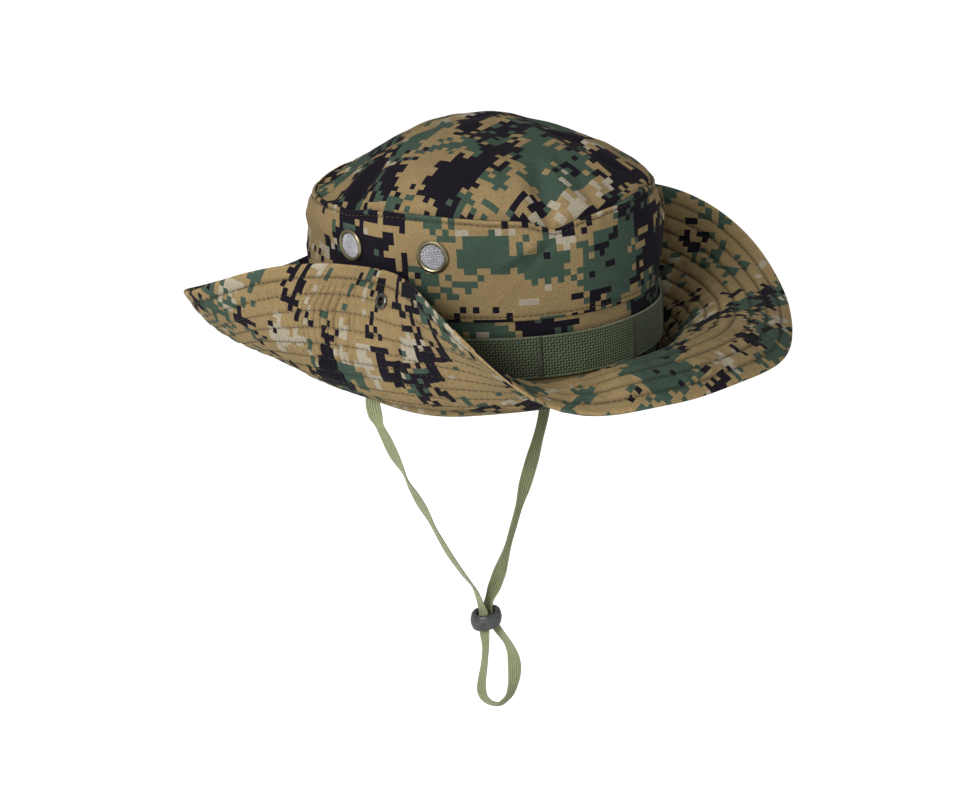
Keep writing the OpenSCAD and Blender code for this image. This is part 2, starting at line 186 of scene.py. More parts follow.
def stitches(bag, pts, nrm, length=2.5, gap=0.55, radius=0.19, lift=0.10, phase=0.0, closed=False, slant=0.0):
    """Sewn thread: a row of short rounded stitches along pts (n,3), lying on the side that nrm points to."""
    pts, nrm = np.asarray(pts, float), np.asarray(nrm, float)
    if closed:
        pts = np.concatenate([pts, pts[:1]]); nrm = np.concatenate([nrm, nrm[:1]])
    d = np.concatenate([[0], np.cumsum(np.linalg.norm(np.diff(pts, axis=0), axis=1))])
    L = d[-1]
    n = int(L // (length + gap))
    if n < 1:
        return
    pitch = L / n
    s0 = (np.arange(n) + 0.08 + phase * 0) * pitch
    jit = (hash01(np.arange(n), np.arange(n) * 0 + int(L * 10) % 977, 5) - 0.5) * 0.25
    ts = np.array([0.0, 0.10, 0.3, 0.7, 0.90, 1.0])
    rr = np.array([0.30, 0.80, 1.0, 1.0, 0.80, 0.30]) * radius
    hh = np.array([-0.28, -0.02, lift, lift, -0.02, -0.28])
    q = s0[:, None] + ts[None] * (pitch - gap) + jit[:, None]
    q = np.clip(q, 0, L)
    C = np.stack([np.interp(q, d, pts[:, i]) for i in range(3)], -1)
    Nn = np.stack([np.interp(q, d, nrm[:, i]) for i in range(3)], -1)
    Nn /= np.linalg.norm(Nn, axis=-1, keepdims=True)
    C = C + Nn * hh[None, :, None]
    T = C[:, -1] - C[:, 0]; T /= np.linalg.norm(T, axis=-1, keepdims=True) + 1e-9
    if slant:
        side_ = np.cross(T, Nn[:, 2]); side_ /= np.linalg.norm(side_, axis=-1, keepdims=True) + 1e-9
        C = C + side_[:, None] * (slant * (ts - 0.5))[None, :, None]
        T = C[:, -1] - C[:, 0]; T /= np.linalg.norm(T, axis=-1, keepdims=True) + 1e-9
    T = np.repeat(T[:, None], len(ts), 1)
    S = np.cross(T, Nn); S /= np.linalg.norm(S, axis=-1, keepdims=True) + 1e-9
    W = np.cross(S, T)
    k = 6
    a = np.arange(k) * 2 * PI / k
    V = C[:, :, None] + rr[None, :, None, None] * (np.cos(a)[None, None, :, None] * S[:, :, None] + 0.8 * np.sin(a)[None, None, :, None] * W[:, :, None])
    m = len(ts)
    Qb, _, _ = grid_faces(m, k, False, True)
    caps = np.array([[0, 3, 2, 1], [0, 5, 4, 3]])
    e = (m - 1) * k
    caps2 = np.array([[e, e + 1, e + 2, e + 3], [e, e + 3, e + 4, e + 5]])
    F = np.concatenate([Qb, caps, caps2])
    Q = (F[None] + (np.arange(n) * m * k)[:, None, None]).reshape(-1, 4)
    bag.add(V.reshape(-1, 3), Q)


# ------------------------------------------------------------------ materials
class Mat:
    def __init__(self, name):
        self.m = bpy.data.materials.new(name); self.m.use_nodes = True
        self.nt = self.m.node_tree
        self.b = next(n for n in self.nt.nodes if n.type == "BSDF_PRINCIPLED")
    def node(self, kind, props=None, **ins):
        n = self.nt.nodes.new(kind)
        for k, v in (props or {}).items(): setattr(n, k, v)
        for k, v in ins.items():
            key = int(k[1:]) if k[0] == "i" and k[1:].isdigit() else k.replace("_", " ")
            self.put(n.inputs[key], v)
        return n
    def put(self, sock, v):
        if hasattr(v, "is_output") or isinstance(v, bpy.types.NodeSocket): self.nt.links.new(v, sock)
        else: sock.default_value = v
    def math(self, op, a, b=0.0, c=0.0, clamp=False):
        n = self.node("ShaderNodeMath", {"operation": op, "use_clamp": clamp}, i0=a, i1=b)
        if op in ("MULTIPLY_ADD", "SMOOTH_MIN", "SMOOTH_MAX", "WRAP"): self.put(n.inputs[2], c)
        return n.outputs[0]
    def vmath(self, op, a, b=(0, 0, 0)):
        n = self.node("ShaderNodeVectorMath", {"operation": op}, i0=a, i1=b)
        return n.outputs[0]
    def noise(self, vec, scale, detail=2.0, rough=0.5, w=None, dist=0.0):
        n = self.node("ShaderNodeTexNoise", {"noise_dimensions": "3D"}, Vector=vec, Scale=scale, Detail=detail, Roughness=rough, Distortion=dist)
        return n.outputs[0]
    def mix(self, f, a, b, mode="MIX"):
        n = self.node("ShaderNodeMix", {"data_type": "RGBA", "blend_type": mode, "clamp_factor": True})
        self.put(n.inputs[0], f); self.put(n.inputs[6], a); self.put(n.inputs[7], b)
        return n.outputs[2]
    def range(self, v, a, b, c=0.0, d=1.0, smoothstep=False):
        n = self.node("ShaderNodeMapRange", {"interpolation_type": "SMOOTHSTEP" if smoothstep else "LINEAR", "clamp": True}, Value=v)
        for k, x in zip(("From Min", "From Max", "To Min", "To Max"), (a, b, c, d)): n.inputs[k].default_value = x
        return n.outputs[0]
    def attr(self, name):
        return self.node("ShaderNodeAttribute", {"attribute_name": name}).outputs["Fac"]
    def bump(self, h, dist, strength=1.0, normal=None):
        n = self.node("ShaderNodeBump", None, Height=h, Distance=dist, Strength=strength)
        if normal is not None: self.put(n.inputs["Normal"], normal)
        return n.outputs[0]
    def set(self, **k):
        for a, v in k.items(): self.put(self.b.inputs[a.replace("_", " ")], v)
        return self.m
    def uv(self, offset=(0, 0, 0)):
        c = self.node("ShaderNodeTexCoord").outputs["UV"]
        return self.vmath("ADD", c, offset)
    def obj(self):
        return self.node("ShaderNodeTexCoord").outputs["Object"]


TAN, GREEN, DARK, BEIGE = srgb(152, 131, 93), srgb(67, 86, 74), srgb(24, 20, 31), srgb(172, 163, 143)
CELL = 0.0034


def camo(name, offset, weave=1.0, fade=0.0, g=0.512, d=0.548, b=0.618):
    """Printed cotton twill with a small-block camouflage in four colours."""
    M = Mat(name)
    uv = M.uv(offset)
    # ragged blocks: whole cells, single or double width
    cell = M.vmath("FLOOR", M.vmath("MULTIPLY", uv, (1 / CELL, 1 / CELL, 1)))
    cell2 = M.vmath("FLOOR", M.vmath("MULTIPLY", uv, (0.5 / CELL, 1 / CELL, 1)))
    pos = M.vmath("MULTIPLY", cell, (CELL * 0.80, CELL * 1.15, 0.0))
    pos2 = M.vmath("MULTIPLY", cell2, (2 * CELL * 0.80, CELL * 1.15, 0.0))
    def layer(p, shift, scale, detail, rough, lo, grain):
        n = M.noise(M.vmath("ADD", p, shift), scale, detail, rough)
        w = M.node("ShaderNodeTexWhiteNoise", {"noise_dimensions": "3D"}, Vector=M.vmath("ADD", cell, shift)).outputs[0]
        v = M.math("ADD", n, M.math("MULTIPLY", M.math("SUBTRACT", w, 0.5), grain))
        return M.math("GREATER_THAN", v, lo)
    green = layer(pos, (3.7, 1.1, 0.2), 27, 3.2, 0.64, g, 0.10)
    beige = layer(pos2, (9.3, 4.7, 1.7), 36, 2.2, 0.60, b, 0.09)
    dark = layer(pos2, (6.1, 8.9, 2.9), 28, 3.4, 0.66, d, 0.095)
    col = M.mix(beige, TAN, BEIGE)
    col = M.mix(green, col, GREEN)
    col = M.mix(dark, col, DARK)
    # uneven dye, thread-by-thread variation, worn edges, and painted shade in the valleys and recesses
    big = M.noise(uv, 13, 3, 0.55)
    col = M.mix(1.0, col, M.range(big, 0.3, 0.7, 0.93, 1.07), "MULTIPLY")
    thread = M.noise(M.vmath("MULTIPLY", uv, (1.0, 0.16, 1.0)), 2400, 2, 0.6)
    thread2 = M.noise(M.vmath("MULTIPLY", uv, (0.16, 1.0, 1.0)), 2400, 2, 0.6)
    tex = M.math("ADD", thread, thread2)
    col = M.mix(1.0, col, M.range(tex, 0.72, 1.28, 0.74, 1.16), "MULTIPLY")
    mottle = M.noise(uv, 880, 3, 0.65)
    col = M.mix(1.0, col, M.range(mottle, 0.3, 0.7, 0.88, 1.11), "MULTIPLY")
    twill = M.node("ShaderNodeTexWave", {"wave_type": "BANDS", "bands_direction": "DIAGONAL", "wave_profile": "SIN"}, Vector=uv, Scale=390.0, Distortion=0.6, Detail=1.0, Detail_Scale=3.0).outputs["Fac"]
    weft = M.node("ShaderNodeTexWave", {"wave_type": "BANDS", "bands_direction": "X", "wave_profile": "SIN"}, Vector=uv, Scale=620.0, Distortion=0.4, Detail=0.0).outputs["Fac"]
    col = M.mix(1.0, col, M.range(twill, 0.0, 1.0, 1.04, 1.04 - 0.16 * weave), "MULTIPLY")
    wear = M.math("MULTIPLY", M.attr("wear"), M.range(M.noise(uv, 240, 3, 0.6), 0.34, 0.62))
    col = M.mix(M.math("MULTIPLY", wear, 0.75), col, M.mix(1.0, col, (1.45, 1.40, 1.32, 1), "MULTIPLY"))
    # pale specks of lint
    lint = M.range(M.noise(uv, 900, 2, 0.5), 0.72, 0.80)
    col = M.mix(M.math("MULTIPLY", lint, 0.35), col, srgb(170, 160, 138))
    # painted shade: darkens the colour where the mesh attribute marks creases, recesses and the inside of the hat
    painted_shade = M.attr("painted_shade")
    col = M.mix(M.math("MULTIPLY", painted_shade, 0.5), col, M.mix(1.0, col, srgb(112, 104, 92), "MULTIPLY"))
    if fade:
        col = M.mix(fade, col, srgb(150, 140, 112))
    h = M.math("ADD", M.math("MULTIPLY", twill, 0.6), M.math("MULTIPLY", weft, 0.25))
    h = M.math("ADD", h, M.math("MULTIPLY", tex, 0.45))
    n1 = M.bump(M.noise(uv, 420, 3, 0.6), 0.0003, 0.35)
    nrm = M.bump(h, 0.00011, 0.9 * weave, n1)
    return M.set(Base_Color=col, Roughness=M.range(tex, 0.7, 1.3, 0.80, 0.96), Normal=nrm, Sheen_Weight=0.03, Sheen_Roughness=0.5,
                 Sheen_Tint=srgb(200, 190, 165), Specular_IOR_Level=0.13)


def cloth(name, c, c2, scale=620.0, holes=False, sheen=0.25, rough=0.85, strength=0.8, dist=0.00012):
    """Plain woven cloth or tape of one colour."""
    M = Mat(name)
    p = M.obj()
    n = M.noise(p, 60, 4, 0.6)
    f = M.noise(p, 2200, 2, 0.6)
    col = M.mix(M.range(n, 0.3, 0.7, 0, 0.55), c, c2)
    col = M.mix(M.range(f, 0.3, 0.7, 0.0, 0.35), col, (0, 0, 0, 1))
    # painted shade: near-black in the gaps and grooves of the weave
    if holes:
        col = M.mix(M.attr("hole"), col, srgb(14, 17, 12))
    wv = M.node("ShaderNodeTexWave", {"wave_type": "BANDS", "bands_direction": "Z"}, Vector=p, Scale=scale, Distortion=0.5, Detail=1.0).outputs["Fac"]
    wx = M.node("ShaderNodeTexWave", {"wave_type": "BANDS", "bands_direction": "DIAGONAL"}, Vector=p, Scale=scale, Distortion=0.5, Detail=1.0).outputs["Fac"]
    h = M.math("ADD", M.math("ADD", M.math("MULTIPLY", wv, 0.4), M.math("MULTIPLY", wx, 0.4)), M.math("MULTIPLY", f, 0.5))
    return M.set(Base_Color=col, Roughness=rough, Sheen_Weight=sheen, Sheen_Roughness=0.4, Specular_IOR_Level=0.25, Normal=M.bump(h, dist, strength))


def metal(name, c, c_dark, rough=(0.28, 0.55), scale=900, patina=0.6):
    M = Mat(name)
    p = M.obj()
    n = M.noise(p, scale, 4, 0.65)
    n2 = M.noise(p, 160, 3, 0.6)
    col = M.mix(M.range(M.math("ADD", n, M.math("MULTIPLY", n2, 0.6)), 0.6, 1.05, 0, patina), c, c_dark)
    scr = M.noise(M.vmath("MULTIPLY", p, (1, 6, 1)), 2600, 2, 0.6)
    return M.set(Base_Color=col, Metallic=0.92, Roughness=M.range(n, 0.3, 0.7, *rough), Normal=M.bump(M.math("ADD", n, M.math("MULTIPLY", scr, 0.4)), 0.00008, 0.6))


MAT_CROWN = camo("camo_cloth_crown", (0.613, 0.441, 0), d=0.556)
MAT_TOP = camo("camo_cloth_top", (0.912, 0.137, 0), g=0.505, d=0.54)
MAT_BAND = camo("camo_cloth_band", (0.823, 0.237, 0))
MAT_BRIM = camo("camo_cloth_brim", (3.171, 0.413, 0), g=0.532, d=0.566, b=0.605)
MAT_WEB = cloth("olive_webbing", srgb(120, 131, 100), srgb(98, 110, 82), 1500, holes=True, sheen=0.2, rough=0.6)
MAT_THREAD = cloth("dark_thread", srgb(84, 76, 54), srgb(58, 54, 38), 2400, sheen=0.1, rough=0.6)
MAT_QUILT = cloth("quilting_thread", srgb(64, 68, 52), srgb(44, 48, 36), 2400, sheen=0.1, rough=0.6)
MAT_TACK = cloth("olive_thread", srgb(84, 92, 68), srgb(66, 74, 54), 2400, sheen=0.25, rough=0.55)
MAT_STRAP = cloth("strap_braid", srgb(182, 193, 146), srgb(148, 159, 116), 1500, holes=True, sheen=0.3, rough=0.62)
MAT_BRASS = metal("antique_brass", srgb(164, 154, 124), srgb(84, 76, 56), rough=(0.24, 0.46), patina=0.6)
MAT_EYE = metal("dark_metal", srgb(112, 110, 104), srgb(46, 45, 42))
MAT_SCREEN = metal("vent_wire", srgb(236, 236, 242), srgb(138, 138, 148), rough=(0.45, 0.7), patina=0.75)
MAT_SWEAT = camo("sweatband_cloth", (0.251, 0.613, 0), fade=0.06, g=0.575, d=0.60)
MAT_TAPE = cloth("seam_tape", srgb(92, 92, 66), srgb(74, 76, 54), 700)
MAT_LABEL = cloth("label_cloth", srgb(222, 220, 210), srgb(206, 204, 192), 900, sheen=0.3, rough=0.6)


def bead_material():
    M = Mat("bead_plastic")
    p = M.obj()
    n = M.noise(p, 260, 4, 0.6); f = M.noise(p, 3000, 2, 0.5)
    col = M.mix(M.range(n, 0.3, 0.7), srgb(58, 61, 62), srgb(80, 84, 84))
    return M.set(Base_Color=col, Roughness=M.range(n, 0.3, 0.7, 0.26, 0.44), Specular_IOR_Level=0.6, Normal=M.bump(M.math("ADD", n, M.math("MULTIPLY", f, 0.4)), 0.00012, 0.35))


MAT_BEAD = bead_material()

# ------------------------------------------------------------------ hat shape (same rules as the CAD source)
A0, B0 = 100.0, 84.0
WA, WB = 99.2, 83.2
BW = 83.2


def slope_mid(p):
    sag = np.radians(6.9) * np.exp(-((np.degrees(np.mod(p, 2 * PI)) - 166) / 22) ** 2)
    return 0.758 - 0.188 * np.cos(p) - 0.584 * np.cos(2 * p) + 0.089 * np.cos(3 * p) + 0.166 * np.cos(4 * p) - sag
def slope_turn(p): return 0.343 - 1.719 * np.cos(p) - 1.004 * np.cos(2 * p) - 0.164 * np.cos(3 * p) + 0.386 * np.cos(4 * p)
def normal2(p):
    n = np.stack([np.sin(p) / B0, -np.cos(p) / A0], -1)
    return n / np.linalg.norm(n, axis=-1, keepdims=True)


def brim_frame(p, y):
    """Top-surface point and its downward normal at angle p and distance y from the crown, in mm."""
    p, y = np.broadcast_arrays(p, y)
    back = np.minimum(y, 0); y = np.maximum(y, 0)      # rows before the seam run level into the crown
    k = slope_turn(p); k = np.where(abs(k) < 1e-3, 1e-3, k)
    a0 = slope_mid(p) - k / 2
    a1 = a0 + k * y / BW
    c = BW / k
    h = c * (np.sin(a1) - np.sin(a0)); z = c * (np.cos(a0) - np.cos(a1))
    n = normal2(p)
    h = h + back
    P = np.stack([B0 * np.sin(p) + h * n[..., 0], -A0 * np.cos(p) + h * n[..., 1], z], -1)
    D = np.stack([np.sin(a1) * n[..., 0], np.sin(a1) * n[..., 1], -np.cos(a1)], -1)
    return P, D


# distances of the quilting lines from the crown
LINES = np.array([0.0, 8.2, 16.6, 25.0, 33.4, 41.8, 50.2, 58.6, 67.0, 75.4, BW])
AMP = np.array([0.55, 0.85, 0.95, 1.0, 1.0, 1.0, 0.95, 0.9, 0.95, 0.35])


def brim_puff(p, y, side):
    """How far the cloth stands above its sewn lines, in mm, plus a crease value that sets painted shade. side is 0 on
    top, 1 underneath.
    """
    y = np.maximum(y, 0)
    i = np.clip(np.searchsorted(LINES, y, side="right") - 1, 0, len(AMP) - 1)
    w = LINES[i + 1] - LINES[i]
    t = np.clip((y - LINES[i]) / w, 0, 1)
    outer = i == len(AMP) - 1
    shape = np.where(outer, np.minimum(1, (t * w / 3.2)) ** 0.6, (4 * t * (1 - t)) ** (0.55 if side == 0 else 0.45))
    ang = p / (2 * PI)
    # where the cloth is gathered, and short puckers that change from channel to channel
    area = smooth(vnoise(ang * 9, y / 40.0, 51, 9), -0.45, 0.45)
    pk = vnoise(ang * 150 + i * 7.31, y / 9.0, 11, 150) * 0.55 + vnoise(ang * 260 + i * 3.7, y / 5.0, 23, 260) * 0.35
    ridge = 1 - abs(vnoise(ang * 96 + i * 1.9, y / 13.0, 37 + side, 96))
    pucker = np.where(outer, 0.3, 1.0) * (0.50 * pk + 0.40 * (ridge ** 3 - 0.3)) * (0.50 + 0.70 * area)
    # ripples that run across several channels
    rip = vnoise(ang * 172 + 0.5 * vnoise(ang * 40, y / 18.0, 57, 40), y / 24.0, 53, 172) * area * smooth(y, 3, 12) * np.where(outer, 0.35, 1.0)
    gain = np.where(outer, 1.0, 1.0 if side == 0 else 0.40)
    near_ = bell(p, 255, 8) + 0.8 * bell(p, 286, 5) + 0.7 * bell(p, 66, 9) + 0.6 * bell(p, 106, 7)
    # gathers that run right across the under side where the brim is turned up: round crests, sharp valleys
    phi = ang * 180 + 0.9 * vnoise(ang * 60, y / 26.0, 61, 60) + 0.15 * i
    gather = ((0.5 - 0.5 * np.cos(2 * PI * phi)) ** 0.6 - 0.62) * (0.62 + 0.38 * vnoise(ang * 75 + i * 2.1, y / 10.0, 63, 75))
    gather = gather * tightness(p) * smooth(y, 12, 28) * (1 - smooth(y, 70, 77))
    lift = shape * (AMP[i] * gain + pucker * (1.35 if side == 0 else 1.45)) + (0.26 + (0.95 * near_ if side else 0.0)) * rip * (0.35 + 0.65 * shape)
    if side:
        lift = lift + 2.2 * gather * (0.5 + 0.5 * shape)
        # a soft fold where each side was bent up
        for c in (281.0, 79.0):
            d = (np.degrees(p) - (c - (63 - y) * 0.09 * (1 if c > 180 else -1)) + 180) % 360 - 180
            lift = lift + (0.35 * np.exp(-((d - 2.2) / 1.5) ** 2) - 1.5 * np.exp(-(d / 0.9) ** 2)) * smooth(y, 14, 26) * (1 - smooth(y, 60, 70))
    # the thread pulls the line down a little unevenly
    lift = lift - 0.20 * (1 - shape) * (0.5 + 0.5 * vnoise(ang * 300, y / 3.0, 41, 300))
    # each eyelet clamps the plies flat
    held = (bell(p, 85.2, 2.7) + bell(p, 274.8, 2.7)) * np.exp(-((y - 68.0) / 5.8) ** 2)
    lift = lift * smooth(y, -0.5, 2.5) * (1 - 0.9 * np.minimum(held, 1))
    # crease: painted shade, darkest in the dips along each sewn line
    crease = np.where(outer, np.clip(1 - t * w / 2.0, 0, 1), np.clip(1 - np.minimum(t, 1 - t) * w / 1.7, 0, 1) * (1.0 if side == 0 else 0.55))
    # painted shade where the puckers and gathers dip
    crease = np.clip(crease + np.clip(-1.1 * pucker, 0, 0.4) * shape + (2.2 * np.clip(-gather - 0.05, 0, 1) if side else 0.0), 0, 1)
    return lift, crease


def bell(p, centre, width):
    """Bell-shaped weight round an angle given in degrees."""
    d = (np.degrees(p) - centre + 180) % 360 - 180
    return np.exp(-(d / width) ** 2)


def tightness(p):
    """How strongly the under cloth is gathered at angle p."""
    return bell(p, 257, 9) + 0.4 * bell(p, 240, 8) + 0.45 * bell(p, 290, 7) + 0.8 * bell(p, 70, 9) + 0.5 * bell(p, 103, 7)


def brim_wave(p, y):
    """Slow waves of the whole brim, in mm along the downward normal; nothing at the crown."""
    ang = p / (2 * PI)
    f = smooth(y, 6, 60)
    w = 1.3 * vnoise(ang * 14, y / 45.0, 71, 14) + 0.7 * vnoise(ang * 31, y / 24.0, 73, 31)
    # keep the eyelets where the fold pieces need them
    for c in (85.2, 274.8):
        w = w * (1 - 0.92 * bell(p, c, 8) * np.exp(-((y - 68.0) / 16) ** 2))
    w = w + 1.0 * bell(p, 4, 13) + 2.2 * bell(p, 315, 8) - 4.6 * bell(p, 336, 10)
    return w * f - (2.4 * bell(p, 224, 17) + 1.4 * bell(p, 296, 8)) * np.exp(-((y - 42) / 22) ** 2)


def brim_drift(p, y):
    """How far the soft rim strays from the even shape: outwards and upwards, in mm."""
    g = smooth(y, 22, BW)
    out = 4.8 * bell(p, 9, 13) + 2.6 * bell(p, 208, 9) + 1.0 * bell(p, 44, 14)
    up = -2.3 * bell(p, 5, 13) + 1.9 * bell(p, 333, 10) - 2.6 * bell(p, 170, 14) - 1.2 * bell(p, 311, 6) + 1.5 * bell(p, 206, 9)
    return out * g, up * g


def brim_point(p, y, side):
    """Point of the visible cloth; side 0 is the top face, 1 the under face. Returns point, outward normal, and a crease
    value for painted shade.
    """
    P, D = brim_frame(p, y)
    lift, crease = brim_puff(p, y, side)
    wv = brim_wave(p, y)
    d = (0.75 - lift if side == 0 else 2.35 - 0.75 * (1 - smooth(y, 0, 9)) + lift) + wv
    mid = 1.55 + wv
    rim = np.sqrt(np.clip(1 - ((y - (BW - 1.3)) / 1.3) ** 2 * (y > BW - 1.3), 0, 1))
    d = mid + (d - mid) * rim
    out, up = brim_drift(p, y)
    n2 = normal2(p)
    Pt = P + D * d[..., None] + np.stack([out * n2[..., 0], out * n2[..., 1], up], -1)
    N = -D if side == 0 else D
    return Pt, N, crease


def flat_uv(p, y):
    n = normal2(p)
    return np.stack([B0 * np.sin(p) + n[..., 0] * y, -A0 * np.cos(p) + n[..., 1] * y], -1) * MM


def build_brim():
    ys = []
    for a, b in zip(LINES[:-1], LINES[1:]):
        n = 4 if b - a < 4 else (15 if b > BW - 1 else 9)
        t = np.arange(n) / n
        ys += list(a + (b - a) * t)
    ys = np.array([y for y in ys if y < BW - 1.3] + [BW - 1.3 + 1.3 * math.sin(k * PI / 2 / 5) for k in range(6)])
    ys = np.concatenate([[-2.4, -1.2, 0.0], ys[ys >= 0.6]])
    M = len(ys)
    # even spacing along the middle of the brim
    dense = np.linspace(0, 2 * PI, 4001)
    Pm, _ = brim_frame(dense, np.full_like(dense, 55.0))
    # closer rows where the cloth is gathered
    rate = 1 + 1.2 * tightness((dense[1:] + dense[:-1]) / 2)
    L = np.concatenate([[0], np.cumsum(np.linalg.norm(np.diff(Pm, axis=0), axis=1) * rate)])
    out = {}
    for side, (a, b) in {"left": (0, PI), "right": (PI, 2 * PI)}.items():
        la, lb = np.interp([a, b], dense, L)
        n = int((lb - la) / (1.1)) + 1
        ps = np.interp(np.linspace(la, lb, n), L, dense)
        ps[0], ps[-1] = a, b
        PP, YY = np.meshgrid(ps, ys, indexing="ij")
        top, _, c0 = brim_point(PP, YY, 0)
        bot, _, c1 = brim_point(PP, YY, 1)
        loop = np.concatenate([top, bot[:, ::-1]], 1)
        uv = np.concatenate([flat_uv(PP, YY), flat_uv(PP, YY)[:, ::-1] + (0.31, 0.17)], 1)
        uv = np.concatenate([uv, uv[:, :1]], 1)
        edge = smooth(YY, BW - 3.0, BW - 0.5)
        # painted shade: darker in the sewn dips and gathers, and next to the crown
        painted_shade = np.concatenate([c0, c1[:, ::-1]], 1)
        puffed = np.concatenate([1 - c0, (1 - c1)[:, ::-1]], 1) * 0.12
        wear = np.clip(np.concatenate([edge, edge[:, ::-1]], 1) + puffed, 0, 1)
        painted_shade = np.clip(painted_shade + 0.8 * np.concatenate([1 - smooth(YY, 0, 9), (1 - smooth(YY, 0, 9))[:, ::-1]], 1), 0, 1)
        o = grid_obj("brim_%s_cloth" % side, loop, uv, False, True, {"wear": wear, "painted_shade": painted_shade}, MAT_BRIM, caps=True)
        out[side] = o
    return out


def brim_stitching():
    bags = {"left": Bag(), "right": Bag()}
    dense = np.linspace(0, 2 * PI, 1601)
    for side, (a, b) in {"left": (0.004, PI - 0.004), "right": (PI + 0.004, 2 * PI - 0.004)}.items():
        p = dense[(dense >= a) & (dense <= b)]
        for k, y in enumerate(LINES[1:-1]):
            for face in (0, 1):
                # the line stops at the eyelet and starts again behind it
                c = math.radians(85.2 if side == "left" else 274.8); gap = math.radians(2.3 if abs(y - 68.0) < 5 else -1)
                for q in ((p[p < c - gap], p[p > c + gap]) if gap > 0 else (p,)):
                    P, N, _ = brim_point(q, np.full_like(q, y), face)
                    # the surface dips at the line; the thread lies in the dip
                    stitches(bags[side], P, N, 2.3, 0.75, 0.23, 0.12, phase=k, slant=0.0 if face == 0 else 0.75)
    return bags


def add_cutter(name, centre, axis, radius, depth):
    bm = bmesh.new()
    bmesh.ops.create_cone(bm, cap_ends=True, segments=40, radius1=radius * MM, radius2=radius * MM, depth=depth * MM)
    me = bpy.data.meshes.new(name); bm.to_mesh(me); bm.free()
    o = bpy.data.objects.new(name, me)
    bpy.context.scene.collection.objects.link(o)
    o.matrix_world = Matrix.Translation(Vector(centre) * MM) @ Vector(axis).to_track_quat("Z", "Y").to_matrix().to_4x4()
    return o


def cut(obj, cutters):
    bpy.context.view_layer.update()
    for c in cutters:
        m = obj.modifiers.new("cut", "BOOLEAN")
        m.operation = "DIFFERENCE"; m.object = c
        try:
            m.solver = "MANIFOLD"
        except TypeError:
            m.solver = "EXACT"
    apply_mods(obj)
    for c in cutters:
        bpy.data.objects.remove(c)


def apply_mods(obj):
    dg = bpy.context.evaluated_depsgraph_get()
    dg.update()
    ev = obj.evaluated_get(dg)
    me = bpy.data.meshes.new_from_object(ev, preserve_all_data_layers=True, depsgraph=dg)
    obj.modifiers.clear()
    old = obj.data
    obj.data = me
    me.name = old.name
    me.polygons.foreach_set("use_smooth", np.ones(len(me.polygons), bool))


# ------------------------------------------------------------------ crown
VENT_Y, VENT_Z = 26.0, 81.5
va = PI / 2 + math.asin(VENT_Y / WA)
VENTS = [s * a for s in (-1, 1) for a in (va, PI - va)]
def wall_n(p):
    n = np.stack([np.sin(p) / WB, -np.cos(p) / WA], -1)
    return n / np.linalg.norm(n, axis=-1, keepdims=True)
def wall_pt(p, z, off):
    n = wall_n(p)
    return np.stack([WB * np.sin(p) + off * n[..., 0], -WA * np.cos(p) + off * n[..., 1], z], -1)
# arc length round the wall
_pd = np.linspace(-PI, PI, 4001)
_pl = np.concatenate([[0], np.cumsum(np.linalg.norm(np.diff(wall_pt(_pd, np.zeros(4001), 0), axis=0), axis=1))])
def wall_arc(p): return np.interp(p, _pd, _pl)
def arc_angle(l): return np.interp(l, _pl, _pd)
CIRC = _pl[-1]


def near_vent(p, z, r):
    w = np.zeros(np.broadcast(p, z).shape)
    l = wall_arc(p)
    for v in VENTS:
        d2 = (l - wall_arc(v)) ** 2 + (z - VENT_Z) ** 2
        w = np.maximum(w, np.exp(-(d2 / r ** 2) ** 2))
    return w


def fold(l, z, l0, z0, l1, z1, width, height):
    """A soft ridge between two points of the wall, (arc length, height)."""
    d = np.array([l1 - l0, z1 - z0]); L = np.hypot(*d); d = d / L
    dl = (l - l0 + CIRC / 2) % CIRC - CIRC / 2
    t = dl * d[0] + (z - z0) * d[1]; q = -dl * d[1] + (z - z0) * d[0]
    return height * np.exp(-(q / width) ** 2) * np.clip(np.sin(np.clip(t / L, 0, 1) * PI), 0, 1) ** 0.7


def seam_z(p):
    """Height of the top seam: it sags at the back and at a few tucks, and is drawn up at the sides."""
    z = 98.8 + 4.2 * bell(p, -83, 26) - 5.2 * bell(p, -36, 6.5) - 1.6 * bell(p, -26, 9) + 2.8 * bell(p, 4, 14) - 1.6 * bell(p, -106, 6)
    z = z - 4.6 * bell(p, -160, 26) - 2.5 * bell(p, 150, 22) - 1.8 * bell(p, 50, 14) - 1.0 * bell(p, 98, 16)
    return z + 0.35 * vnoise((p / (2 * PI)) * 23, 0.3, 91, 23)


def lean(p, z):
    """How far the soft wall leans in, in mm (negative is inwards)."""
    return -(-1.3 * smooth(z, 46, 58) + 2.6 * smooth(z, 62, 80) + 3.9 * smooth(z, 84, 100)) * bell(p, -149, 34) - 0.7 * smooth(z, 82, 100) * bell(p, 31, 24) \
        - 1.2 * smooth(z, 84, 99) * bell(p, 150, 26) - 0.8 * smooth(z, 88, 98) * bell(p, -36, 9)


